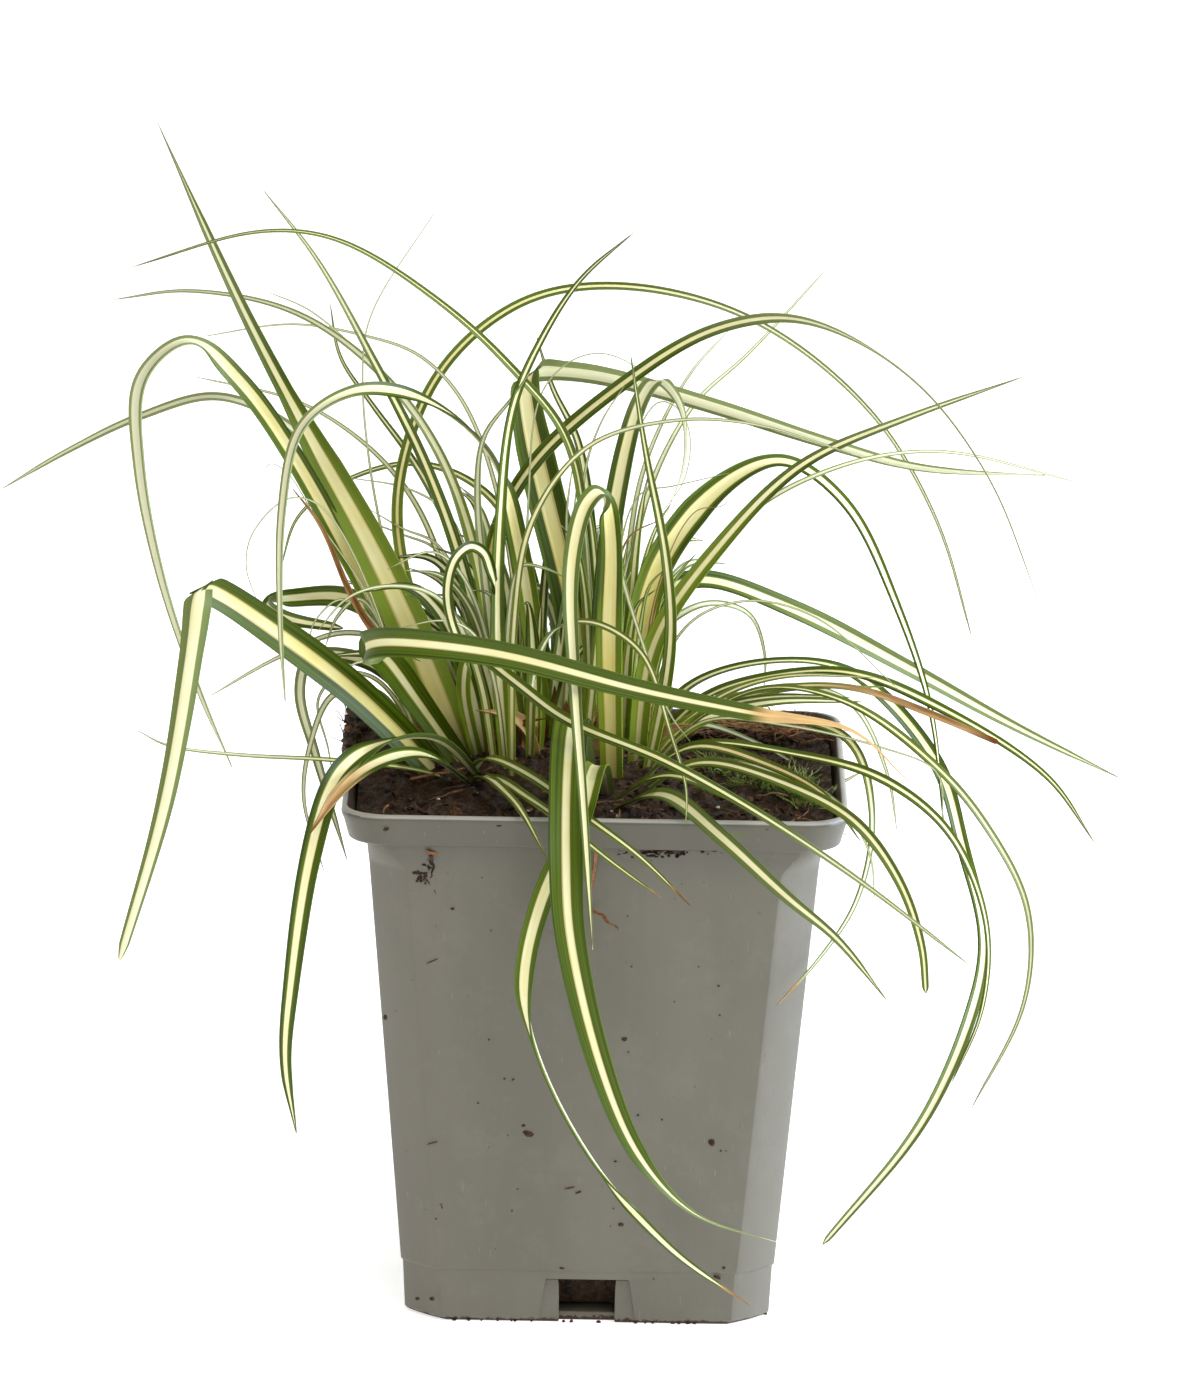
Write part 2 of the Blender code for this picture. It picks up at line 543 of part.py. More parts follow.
def leaf_width(leaf, share):
    """Give the leaf's width in metres at a share of its length."""
    grown = BASE_WIDTH + (1 - BASE_WIDTH) * min(1.0, share / WIDEST_AT)
    narrowed = leaf.tip + (1 - leaf.tip) * (1 - share ** leaf.taper)
    return leaf.width * MM * grown * narrowed


def facing_at(facings, share):
    """Blend the leaf's facings at a share of its length."""
    place = share * (len(facings) - 1)
    index = min(int(place), len(facings) - 2)
    if index < 0:
        return Vector(facings[0])
    return Vector(facings[index]).lerp(Vector(facings[index + 1]), place - index)


def leaf_section(centre, along, facing, width):
    """Give the four corners of a channelled section: edge, upper middle, edge, keel."""
    across = along.cross(facing).normalized()
    upper = across.cross(along).normalized()
    edge = upper * (CHANNEL * width)
    half = across * (width / 2)
    thickness = upper * (LEAF_THICKNESS / 2)
    return [centre - half + edge, centre + thickness, centre + half + edge, centre - thickness]


def build_leaf(leaf):
    """Build one leaf as a closed strip of sections along its curve."""
    stations = smooth_curve(leaf_points(leaf))
    sections = []
    for index, share in enumerate(length_shares(stations)):
        before = stations[max(index - 1, 0)]
        after = stations[min(index + 1, len(stations) - 1)]
        sections.append(leaf_section(stations[index], (after - before).normalized(),
                                     facing_at(leaf.facings, share), leaf_width(leaf, share)))
    sections[0] = seat_on_soil(sections[0])
    builder = bmesh.new()
    loft(builder, sections)
    bmesh.ops.triangulate(builder, faces=builder.faces)
    return add_object(leaf.name, builder, leaf.finish)


def main():
    """Build the whole plant in its pot."""
    clear_scene()
    build_pot()
    build_soil()
    build_moss()
    for leaf in LEFT_LEAVES + CENTRE_LEAVES + RIGHT_LEAVES + FRONT_LEAVES + OLD_LEAVES:
        build_leaf(leaf)


main()
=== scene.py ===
"""Visual model of a potted sedge: striped leaves rising from peat in a square grey nursery pot.

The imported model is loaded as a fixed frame, in metres, with +Z up and the pot's front towards -Y.
Every part of it is then built again in the same place as a detailed piece: the moulded pot, the bed
of peat with its crumbs and rootlets, the moss, and each leaf as a thin channelled blade with its own
stripe. Sizes and routes in the tables below are in millimetres.
"""

import logging
import math
import random
from dataclasses import dataclass
from enum import Enum
from typing import Callable, Iterator, Optional, Sequence

import bmesh
import bpy
from mathutils import Matrix, Vector, noise


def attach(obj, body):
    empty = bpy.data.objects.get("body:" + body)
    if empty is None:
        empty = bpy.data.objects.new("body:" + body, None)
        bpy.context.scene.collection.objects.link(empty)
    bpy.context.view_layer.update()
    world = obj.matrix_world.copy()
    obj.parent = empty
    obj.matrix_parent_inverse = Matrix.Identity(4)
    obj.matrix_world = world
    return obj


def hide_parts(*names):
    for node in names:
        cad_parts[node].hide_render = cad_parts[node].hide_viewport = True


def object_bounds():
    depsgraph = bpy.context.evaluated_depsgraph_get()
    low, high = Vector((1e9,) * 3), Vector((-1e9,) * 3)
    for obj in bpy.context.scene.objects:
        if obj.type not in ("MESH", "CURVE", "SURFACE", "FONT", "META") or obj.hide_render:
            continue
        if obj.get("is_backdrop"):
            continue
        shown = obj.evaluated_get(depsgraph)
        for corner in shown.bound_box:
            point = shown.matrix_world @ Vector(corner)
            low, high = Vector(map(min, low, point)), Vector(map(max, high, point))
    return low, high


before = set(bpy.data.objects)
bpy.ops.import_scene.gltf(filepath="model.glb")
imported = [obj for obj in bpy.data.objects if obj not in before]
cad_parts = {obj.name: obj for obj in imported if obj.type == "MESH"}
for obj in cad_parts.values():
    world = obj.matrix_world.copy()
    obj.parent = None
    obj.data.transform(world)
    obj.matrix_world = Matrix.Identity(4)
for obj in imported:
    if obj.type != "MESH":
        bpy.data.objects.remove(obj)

MM = 0.001
ROOT_BODY = "root"
LOG = logging.getLogger("potted_sedge")

CAD_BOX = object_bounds()


# ---------------------------------------------------------------- working by hand

def pick_only(*things: bpy.types.Object) -> None:
    """Select only these objects and make the first one active.

    Args:
        things: the objects to select.
    """
    bpy.ops.object.select_all(action="DESELECT")
    for thing in things:
        thing.select_set(True)
    bpy.context.view_layer.objects.active = things[0]


def edit(thing: bpy.types.Object) -> None:
    """Open one object in edit mode with nothing selected.

    Args:
        thing: the object to open.
    """
    pick_only(thing)
    bpy.ops.object.mode_set(mode="EDIT")
    bpy.ops.mesh.select_mode(type="VERT")
    bpy.ops.mesh.select_all(action="DESELECT")


def close() -> None:
    """Leave edit mode."""
    bpy.ops.object.mode_set(mode="OBJECT")


def select(thing: bpy.types.Object, kind: str, test: Callable) -> None:
    """Select the parts of the edited mesh that pass a test.

    Args:
        thing: the object in edit mode.
        kind: VERT, EDGE or FACE.
        test: gets each vertex, edge or face and says whether it is wanted.
    """
    bpy.ops.mesh.select_mode(type=kind)
    bpy.ops.mesh.select_all(action="DESELECT")
    work = bmesh.from_edit_mesh(thing.data)
    parts = {"VERT": work.verts, "EDGE": work.edges, "FACE": work.faces}[kind]
    for part in parts:
        if test(part):
            part.select_set(True)
    work.select_flush_mode()
    bmesh.update_edit_mesh(thing.data)


def apply_modifier(thing: bpy.types.Object, kind: str, **settings: object) -> None:
    """Add a modifier with its settings to an object and apply it.

    Args:
        thing: the object to change.
        kind: the modifier's type.
        settings: its properties by name.
    """
    modifier = thing.modifiers.new(kind.lower(), kind)
    for name, value in settings.items():
        setattr(modifier, name, value)
    pick_only(thing)
    bpy.ops.object.modifier_apply(modifier=modifier.name)


def smooth(thing: bpy.types.Object, degrees: float) -> None:
    """Shade an object smooth, with edges sharper than an angle left crisp."""
    pick_only(thing)
    bpy.ops.object.shade_smooth_by_angle(angle=math.radians(degrees))


def add_object(name: str, mesh: bpy.types.Mesh) -> bpy.types.Object:
    """Put a mesh in the scene as an object at the origin.

    Args:
        name: the object's name.
        mesh: what it is made of.

    Returns:
        The new object.
    """
    thing = bpy.data.objects.new(name, mesh)
    bpy.context.scene.collection.objects.link(thing)
    return thing


def hand_over(thing: bpy.types.Object, name: str, slot: str, nodes: Sequence[str] = ()) -> None:
    """Name a finished piece, tie it to the frame and report it.

    Args:
        thing: the finished piece.
        name: its final name.
        slot: the record's material slot that its finish belongs to; not used.
        nodes: the CAD nodes that it stands for.
    """
    thing.name = name
    thing.data.name = name
    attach(thing, ROOT_BODY)
    if nodes:
        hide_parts(*nodes)
    LOG.info("%s: %d faces", name, len(thing.data.polygons))


# ---------------------------------------------------------------- finishes

# How a Mix node is set to blend colours, and which of its outputs then holds the colour
COLOURS = {"data_type": "RGBA", "output": 2}


def linear(colour: str) -> tuple[float, float, float, float]:
    """Turn an sRGB colour into linear values.

    Args:
        colour: six hex digits.

    Returns:
        Red, green, blue and a full alpha.
    """
    shares = [int(colour[i:i + 2], 16) / 255 for i in (0, 2, 4)]
    values = [s / 12.92 if s <= 0.04045 else ((s + 0.055) / 1.055) ** 2.4 for s in shares]
    return (*values, 1.0)


def node(tree: bpy.types.NodeTree, kind: str, inputs: Optional[dict] = None, output: int = 0,
         **settings: object) -> bpy.types.NodeSocket:
    """Add a shader node with its settings and links.

    Args:
        tree: the node tree to add to.
        kind: the node's type, without its ShaderNode prefix.
        inputs: a value or a source socket for each input, by name or index.
        output: which output to return.
        settings: properties of the node.

    Returns:
        The chosen output socket.
    """
    made = tree.nodes.new("ShaderNode" + kind)
    for name, value in settings.items():
        setattr(made, name, value)
    for key, value in (inputs or {}).items():
        if isinstance(value, bpy.types.NodeSocket):
            tree.links.new(value, made.inputs[key])
        else:
            made.inputs[key].default_value = value
    return made.outputs[output]


def begin_material(name: str) -> tuple[bpy.types.Material, bpy.types.NodeTree, bpy.types.Node]:
    """Start a material.

    Args:
        name: the material's name.

    Returns:
        The material, its node tree and its Principled shader.
    """
    material = bpy.data.materials.new(name)
    material.use_nodes = True
    tree = material.node_tree
    return material, tree, tree.nodes["Principled BSDF"]


@dataclass(frozen=True)
class LeafFinish:
    """A living sedge leaf: a waxy skin over lengthwise veins, with a cream stripe down its middle.

    The skin gives a soft satin gloss, the veins fine lengthwise lines, and the stripe's edges are
    sharp because they follow the veins. Colours come from the blade's own attributes, which say
    where it is young, pale, dry or deep in the tuft. The young green at a blade's base also stands
    for painted light shining through it, and the darkening deep in the tuft is painted shade.
    """

    name: str
    paling: float = 0.0
    deep: str = "2c3a02"
    mid: str = "566a0c"
    # young green at the base, partly painted light shining through the blade
    young_and_backlit: str = "92a62e"
    slim: str = "8c9640"
    grey_green: str = "848e58"
    butter: str = "e6d880"
    cream: str = "f2eebc"
    ivory: str = "dddbb8"
    vein_edge: str = "a98238"
    tan: str = "e0b87c"
    rust: str = "6c3d10"
    shade: str = "2a2210"
    roughness: float = 0.4
    dry_roughness: float = 0.75
    specular: float = 0.2
    veins_per_mm: float = 2.3
    vein_relief: float = 0.1

    def make(self) -> bpy.types.Material:
        """Build the node tree.

        Returns:
            The finished material.
        """
        material, tree, shader = begin_material(self.name)
        uv = node(tree, "UVMap", uv_map="blade")
        across, along, _ = node(tree, "SeparateXYZ", {0: uv}).node.outputs
        tone = node(tree, "Attribute", attribute_name="tone")
        shade = tone.node.outputs["Alpha"]
        dry, young_and_backlit, pale = node(tree, "SeparateColor", {0: tone}).node.outputs
        band = node(tree, "Attribute", attribute_name="band")
        girth = band.node.outputs["Alpha"]
        half, middle, seed = node(tree, "SeparateColor", {0: band}).node.outputs
        age = node(tree, "Attribute", attribute_name="age")
        burn, gold, _ = node(tree, "SeparateColor", {0: age}).node.outputs

        # veins: about 0.4 mm apart across the blade and a hundred millimetres long
        vein_x = node(tree, "Math", {0: across, 1: girth}, operation="MULTIPLY")
        vein_x = node(tree, "Math", {0: vein_x, 1: self.veins_per_mm}, operation="MULTIPLY")
        vein_y = node(tree, "Math", {0: along, 1: 0.9}, operation="MULTIPLY")
        place = node(tree, "CombineXYZ", {0: vein_x, 1: vein_y, 2: seed})
        vein = node(tree, "TexNoise", {"Vector": place, "Scale": 1.0, "Detail": 2.0, "Roughness": 0.6})
        patch_y = node(tree, "Math", {0: along, 1: 9.0}, operation="MULTIPLY")
        patch_at = node(tree, "CombineXYZ", {0: across, 1: patch_y, 2: seed})
        patch = node(tree, "TexNoise", {"Vector": patch_at, "Scale": 1.3, "Detail": 2.0})
        mottle = node(tree, "MapRange", {0: patch, 1: 0.3, 2: 0.7, 3: -0.25, 4: 0.25})

        # the stripe: its edges step from vein to vein
        side = node(tree, "Math", {0: across, 1: 0.5}, operation="SUBTRACT")
        side = node(tree, "Math", {0: side, 1: middle}, operation="SUBTRACT")
        side = node(tree, "Math", {0: side}, operation="ABSOLUTE")
        step = node(tree, "MapRange", {0: vein, 1: 0.3, 2: 0.7, 3: -0.02, 4: 0.02})
        side = node(tree, "Math", {0: side, 1: step}, operation="ADD")
        beyond = node(tree, "Math", {0: side, 1: half}, operation="SUBTRACT")
        margin = node(tree, "MapRange", {0: beyond, 1: -0.008, 2: 0.014})
        fringe = node(tree, "MapRange", {0: beyond, 1: 0.0, 2: 0.10, 3: 0.4, 4: 0.0})

        pale_share = node(tree, "Math", {0: pale, 1: self.paling}, operation="ADD", use_clamp=True)
        veined = node(tree, "MapRange", {0: vein, 1: 0.36, 2: 0.66})
        slim = node(tree, "MapRange", {0: girth, 1: 1.0, 2: 2.8, 3: 0.6, 4: 0.0})
        green = linear(self.deep)
        # young green at the base, partly painted light shining through the blade
        for share, tint in ((veined, self.mid), (fringe, self.mid), (slim, self.slim), (young_and_backlit, self.young_and_backlit),
                            (pale_share, self.grey_green)):
            green = node(tree, "Mix", {0: share, 6: green, 7: linear(tint)}, **COLOURS)
        bleached = node(tree, "Math", {0: 1.0, 1: gold}, operation="SUBTRACT")
        lit = node(tree, "Math", {0: mottle, 1: bleached}, operation="ADD", use_clamp=True)
        cream = node(tree, "Mix", {0: lit, 6: linear(self.butter), 7: linear(self.cream)}, **COLOURS)
        cream = node(tree, "Mix", {0: pale_share, 6: cream, 7: linear(self.ivory)}, **COLOURS)
        lined = node(tree, "MapRange", {0: veined, 1: 0.0, 2: 1.0, 3: 0.0, 4: 0.10})
        cream = node(tree, "Mix", {0: lined, 6: cream, 7: green}, **COLOURS)
        edge = node(tree, "MapRange", {0: beyond, 1: -0.05, 2: -0.01, 3: 0.0, 4: 0.55})
        lively = node(tree, "Math", {0: 1.0, 1: pale_share}, operation="SUBTRACT")
        edge = node(tree, "Math", {0: edge, 1: lively}, operation="MULTIPLY")
        cream = node(tree, "Mix", {0: edge, 6: cream, 7: linear(self.vein_edge)}, **COLOURS)
        colour = node(tree, "Mix", {0: margin, 6: cream, 7: green}, **COLOURS)

        # drying runs down the blade from its tip, vein by vein, and down the stripe first
        dried = node(tree, "Math", {0: dry, 1: 2.0}, operation="MULTIPLY")
        ahead = node(tree, "Math", {0: margin, 1: 0.6}, operation="MULTIPLY")
        ahead = node(tree, "Math", {0: vein, 1: ahead}, operation="ADD")
        dried = node(tree, "Math", {0: dried, 1: ahead}, operation="SUBTRACT", use_clamp=True)
        charred = node(tree, "Math", {0: mottle, 1: burn}, operation="ADD", use_clamp=True)
        charred = node(tree, "Math", {0: charred, 1: dry}, operation="MULTIPLY")
        dead = node(tree, "Mix", {0: charred, 6: linear(self.tan), 7: linear(self.rust)}, **COLOURS)
        colour = node(tree, "Mix", {0: dried, 6: colour, 7: dead}, **COLOURS)
        colour = node(tree, "Mix", {0: shade, 6: colour, 7: linear(self.shade)}, **COLOURS)
        tree.links.new(colour, shader.inputs["Base Color"])

        rough = node(tree, "MapRange", {0: vein, 3: self.roughness - 0.06, 4: self.roughness + 0.12})
        rough = node(tree, "Mix", {0: dried, 2: rough, 3: self.dry_roughness}, data_type="FLOAT")
        tree.links.new(rough, shader.inputs["Roughness"])
        bump = node(tree, "Bump", {"Strength": 0.3, "Distance": self.vein_relief * MM, "Height": vein})
        tree.links.new(bump, shader.inputs["Normal"])
        shader.inputs["Specular IOR Level"].default_value = self.specular
        return material


@dataclass(frozen=True)
class MouldedPlastic:
    """Recycled polypropylene, injection moulded: a warm grey with a satin skin.

    The mould's polish gives it a broad soft gloss, flow of the melt gives faint cloudy streaks, and
    use leaves a film of dust, splashes of peat and fine scuffs.
    """

    name: str = "recycled_polypropylene"
    grey: str = "5d584a"
    light: str = "645f51"
    dust: str = "7d796c"
    # the colour of the painted highlight along the top of the lip
    lip_highlight_grey: str = "b3afa4"
    algae: str = "5f6a2a"
    # the colour of the painted shade on the rim band's face
    dust_film_and_rim_shade: str = "454032"
    peat: str = "3b2718"
    roughness: float = 0.4
    dirt_roughness: float = 0.9
    relief: float = 0.1
    stain_at: tuple[float, float, float] = (25.5, -44.8, 93.4)
    stain_shape: tuple[float, float, float] = (0.34, 0.34, 0.9)

    def make(self) -> bpy.types.Material:
        """Build the node tree.

        Returns:
            The finished material.
        """
        material, tree, shader = begin_material(self.name)
        place = node(tree, "TexCoord", {}, 3)
        mm = node(tree, "VectorMath", {0: place, "Scale": 1 / MM}, operation="SCALE")
        flow_at = node(tree, "Mapping", {"Vector": mm, "Scale": (0.05, 0.05, 0.012)})
        flow = node(tree, "TexNoise", {"Vector": flow_at, "Scale": 1.0, "Detail": 4.0, "Roughness": 0.6})
        flow = node(tree, "MapRange", {0: flow, 1: 0.35, 2: 0.65})

        # dust film in soft drifts about 8 mm across
        dust_film_and_rim_shade = node(tree, "TexNoise", {"Vector": mm, "Scale": 0.12, "Detail": 6.0, "Roughness": 0.7})
        dust_film_and_rim_shade = node(tree, "MapRange", {0: dust_film_and_rim_shade, 1: 0.5, 2: 0.8, 3: 0.0, 4: 0.3})

        # splashes of peat: specks up to 1 mm wide that gather in patches
        speck = node(tree, "TexNoise", {"Vector": mm, "Scale": 0.62, "Detail": 3.0, "Roughness": 0.75,
                                        "Distortion": 0.6})
        speck = node(tree, "MapRange", {0: speck, 1: 0.70, 2: 0.74})
        gather = node(tree, "TexNoise", {"Vector": mm, "Scale": 0.06, "Detail": 1.0})
        gather = node(tree, "MapRange", {0: gather, 1: 0.44, 2: 0.58})
        dirt = node(tree, "Math", {0: speck, 1: gather}, operation="MULTIPLY")

        # the foot is dirtier: a broken line of peat in its lowest 3 mm
        height = node(tree, "SeparateXYZ", {0: mm}, 2)
        low = node(tree, "MapRange", {0: height, 1: 0.3, 2: 1.8, 3: 0.62, 4: 0.0})
        ragged = node(tree, "TexNoise", {"Vector": mm, "Scale": 0.9, "Detail": 4.0, "Roughness": 0.7})
        low = node(tree, "Math", {0: low, 1: ragged}, operation="ADD")
        low = node(tree, "MapRange", {0: low, 1: 0.92, 2: 1.02})
        dirt = node(tree, "Math", {0: dirt, 1: low}, operation="MAXIMUM")

        # algae on the rim: one dull green stain about 5 mm wide
        apart = node(tree, "VectorMath", {0: mm, 1: self.stain_at}, operation="SUBTRACT")
        apart = node(tree, "VectorMath", {0: apart, 1: self.stain_shape}, operation="MULTIPLY")
        apart = node(tree, "VectorMath", {0: apart}, 1, operation="LENGTH")
        algae = node(tree, "Math", {0: apart, 1: ragged}, operation="ADD")
        algae = node(tree, "MapRange", {0: algae, 1: 0.9, 2: 1.4, 3: 0.7, 4: 0.0})

        # the attribute: a brown film of peat inside the rim, a painted highlight along the top of the lip,
        # and painted shade on the rim band's face
        use = node(tree, "Attribute", attribute_name="use")
        grimy, lip_highlight, rim_shade = node(tree, "SeparateColor", {0: use}).node.outputs
        caked = node(tree, "MapRange", {0: ragged, 1: 0.3, 2: 0.6, 3: 0.55, 4: 0.95})
        caked = node(tree, "Math", {0: caked, 1: grimy}, operation="MULTIPLY")
        # painted shade on the rim band's face, at half strength
        rim_shade = node(tree, "Math", {0: rim_shade, 1: 0.5}, operation="MULTIPLY")
        # painted highlight along the top of the lip
        lip_highlight = node(tree, "Math", {0: lip_highlight, 1: 0.7}, operation="MULTIPLY")

        # scuffs: thin pale scratches a few millimetres long
        scuff_at = node(tree, "Mapping", {"Vector": mm, "Rotation": (0.0, 0.5, 0.0),
                                          "Scale": (2.2, 2.2, 0.16)})
        scuff = node(tree, "TexNoise", {"Vector": scuff_at, "Scale": 1.0, "Detail": 1.0})
        scuff = node(tree, "MapRange", {0: scuff, 1: 0.74, 2: 0.8, 3: 0.0, 4: 0.5})

        # the coats over the bare grey, from the plastic outwards, with the rim band's painted shade and the
        # lip's painted highlight among them
        colour = linear(self.grey)
        for share, tint in ((flow, self.light), (dust_film_and_rim_shade, self.dust), (dirt, self.peat), (algae, self.algae),
                            (caked, self.peat), (rim_shade, self.dust_film_and_rim_shade), (lip_highlight, self.lip_highlight_grey),
                            (scuff, self.dust)):
            colour = node(tree, "Mix", {0: share, 6: colour, 7: linear(tint)}, **COLOURS)
        tree.links.new(colour, shader.inputs["Base Color"])

        rough = node(tree, "MapRange", {0: dust_film_and_rim_shade, 1: 0.0, 2: 0.3, 3: self.roughness, 4: self.roughness + 0.2})
        rough = node(tree, "Mix", {0: dirt, 2: rough, 3: self.dirt_roughness}, data_type="FLOAT")
        tree.links.new(rough, shader.inputs["Roughness"])
        skin = node(tree, "TexNoise", {"Vector": mm, "Scale": 1.6, "Detail": 2.0})
        lift = node(tree, "Math", {0: dirt, 1: 2.0}, operation="MULTIPLY")
        lift = node(tree, "Math", {0: lift, 1: skin}, operation="ADD")
        bump = node(tree, "Bump", {"Strength": 0.22, "Distance": self.relief * MM, "Height": lift})
        tree.links.new(bump, shader.inputs["Normal"])
        return material


@dataclass(frozen=True)
class CrumbFinish:
    """A loose organic crumb: peat, root, bark, moss or grit, told apart by its two colours.

    Such things are rough and fibrous all over, so they scatter light evenly, with small wet glints
    where the fibres are smooth.
    """

    name: str
    dark: str
    light: str
    grain: float
    roughness: float = 0.85
    specular: float = 0.3
    relief: float = 0.5

    def make(self) -> bpy.types.Material:
        """Build the node tree.

        Returns:
            The finished material.
        """
        material, tree, shader = begin_material(self.name)
        place = node(tree, "TexCoord", {}, 3)
        mm = node(tree, "VectorMath", {0: place, "Scale": 1 / MM}, operation="SCALE")
        coarse = node(tree, "TexNoise", {"Vector": mm, "Scale": 1 / self.grain, "Detail": 6.0,
                                         "Roughness": 0.75})
        fine = node(tree, "TexNoise", {"Vector": mm, "Scale": 5 / self.grain, "Detail": 3.0})
        share = node(tree, "MapRange", {0: coarse, 1: 0.38, 2: 0.72})
        colour = node(tree, "Mix", {0: share, 6: linear(self.dark), 7: linear(self.light)}, **COLOURS)
        tree.links.new(colour, shader.inputs["Base Color"])
        glint = node(tree, "MapRange", {0: fine, 1: 0.45, 2: 0.75, 3: self.roughness,
                                        4: self.roughness - 0.4})
        tree.links.new(glint, shader.inputs["Roughness"])
        shader.inputs["Specular IOR Level"].default_value = self.specular
        rise = node(tree, "Math", {0: coarse, 1: fine}, operation="ADD")
        bump = node(tree, "Bump", {"Strength": 0.7, "Distance": self.relief * MM, "Height": rise})
        tree.links.new(bump, shader.inputs["Normal"])
        return material


@dataclass(frozen=True)
class FloorFinish:
    """A white acrylic studio table lit from below, which keeps the ground under the pot pale."""

    name: str = "opal_acrylic_table"
    white: str = "fbfbfa"
    cloudy: str = "f4f4f2"
    roughness: float = 0.6
    glow: float = 0.68

    def make(self) -> bpy.types.Material:
        """Build the node tree.

        Returns:
            The finished material.
        """
        material, tree, shader = begin_material(self.name)
        place = node(tree, "TexCoord", {}, 3)
        cloud = node(tree, "TexNoise", {"Vector": place, "Scale": 3.0})
        colour = node(tree, "Mix", {0: cloud, 6: linear(self.white), 7: linear(self.cloudy)}, **COLOURS)
        tree.links.new(colour, shader.inputs["Base Color"])
        shader.inputs["Roughness"].default_value = self.roughness
        shader.inputs["Emission Color"].default_value = linear(self.white)
        shader.inputs["Emission Strength"].default_value = self.glow
        return material


# ---------------------------------------------------------------- the pot

@dataclass
class NurseryPot:
    """The square nursery pot: tapered walls with chamfered corners and a turned-out rim.

    Each level of its outline is (half width, corner size, corner flatness from round 0 to chamfered 1,
    height). Every side has a drain notch in a shallow recess at its foot.
    """

    height: float = 96.0
    foot_half: float = 32.8
    step_half: float = 33.6
    top_half: float = 40.4
    rim_half: float = 45.0
    rim_low_half: float = 43.7
    corner: float = 6.8
    rim_corner: float = 7.6
    skirt_z: float = 90.1
    step_z: float = 10.0
    wall: float = 1.1
    floor: float = 1.6
    corner_segments: int = 8
    corner_flat: float = 0.8
    foot_round: float = 0.9
    notch_half: float = 5.0
    notch_top: float = 8.2
    notch_low: float = -1.0
    recess_half_low: float = 9.0
    recess_half_high: float = 7.5
    recess_depth: float = 0.55
    recess_low: float = -2.0
    cutter_depth: float = 12.0
    edge_round: float = 0.3
    round_above: float = 32.0
    crisp_above: float = 34.0
    # how far down from the top the lip's painted highlight reaches
    lip_highlight_depth: float = 0.45

    def levels(self) -> list[tuple[float, float, float, float]]:
        """List the levels from the foot's edge up the outside, over the lip and down the inside.

        Returns:
            Half width, corner size, corner flatness and height of each.
        """
        flat = self.corner_flat
        body = self.corner
        skirt, low = self.skirt_z, self.rim_low_half
        lip, inner, top = self.rim_half, self.rim_half - 1.3, self.height
        shoulder = self.top_half - 0.42
        rim = ((low - 0.4, skirt), (low, skirt + 0.35), (lip - 0.35, top - 1.9), (lip - 0.05, top - 1.2),
               (lip, top - 0.7), (lip - 0.15, top - 0.25), (lip - 0.5, top), (inner + 0.25, top - 0.05),
               (inner, top - 0.5), (low - self.wall, skirt + self.wall))
        return [
            (self.foot_half, body, flat, self.foot_round),
            (self.step_half - 0.35, body, flat, self.step_z - 0.35),
            (self.step_half, body, flat, self.step_z),
            (shoulder, body, flat, skirt - 5.6),
            (shoulder + 0.1, body - 0.3, flat - 0.05, skirt - 4.6),
            (self.top_half - 0.1, body - 2.6, 0.35, skirt - 1.8),
            (self.top_half, body - 3.2, 0.1, skirt + 0.2),
            *((half, self.rim_corner, 0.0, z) for half, z in rim),
            (self.top_half - self.wall, body - 0.4, flat, skirt),
            (self.foot_half - self.wall, body - 0.4, flat, self.floor),
        ]

    def outline(self, half: float, corner: float, flatness: float, z: float) -> list[Vector]:
        """List a level's points, anticlockwise from the +X side.

        Args:
            half: half width in millimetres.
            corner: how far a corner cuts in along each side.
            flatness: from a round corner, 0, to a chamfered one, 1.
            z: height in millimetres.

        Returns:
            The points in metres.
        """
        points = []
        centre = Vector((half - corner, half - corner, z))
        first, last = Vector((half, half - corner, z)), Vector((half - corner, half, z))
        for quarter in range(4):
            turn = Matrix.Rotation(math.radians(90 * quarter), 3, "Z")
            for step in range(self.corner_segments + 1):
                share = step / self.corner_segments
                angle = math.radians(90 * share)
                arc = centre + corner * Vector((math.cos(angle), math.sin(angle), 0))
                points.append(turn @ arc.lerp(first.lerp(last, share), flatness) * MM)
        return points

    def place_ring(self, thing: bpy.types.Object, level: tuple[float, float, float, float]) -> None:
        """Move the selected ring of the edited mesh onto a level's outline, point by point.

        Args:
            thing: the pot in edit mode.
            level: the level's half width, corner size, corner flatness and height.
        """
        work = bmesh.from_edit_mesh(thing.data)
        ring = sorted((v for v in work.verts if v.select), key=lambda v: math.atan2(v.co.y, v.co.x))
        points = sorted(self.outline(*level), key=lambda p: math.atan2(p.y, p.x))
        for vertex, point in zip(ring, points):
            vertex.co = point
        bmesh.update_edit_mesh(thing.data)

    def raise_walls(self) -> bpy.types.Object:
        """Start from a block with bevelled corners and extrude it level by level.

        Returns:
            The plain moulding.
        """
        foot = self.foot_half - self.foot_round
        bpy.ops.mesh.primitive_cube_add(size=2 * foot * MM, location=(0, 0, foot * MM))
        thing = bpy.context.object
        bpy.ops.object.transform_apply(location=True, rotation=True, scale=True)
        edit(thing)
        select(thing, "EDGE", lambda e: abs(e.verts[0].co.z - e.verts[1].co.z) > MM)
        bpy.ops.mesh.bevel(offset=self.corner * MM, segments=self.corner_segments, affect="EDGES")
        top = 2 * foot * MM
        select(thing, "VERT", lambda v: v.co.z < MM)
        self.place_ring(thing, (foot, self.corner, self.corner_flat, 0.0))
        select(thing, "FACE", lambda f: f.normal.z > 0.9 and f.calc_center_median().z > top - MM)
        for index, level in enumerate(self.levels()):
            if index:
                bpy.ops.mesh.extrude_region_move(TRANSFORM_OT_translate={"value": (0, 0, MM)})
            self.place_ring(thing, level)
        close()
        return thing

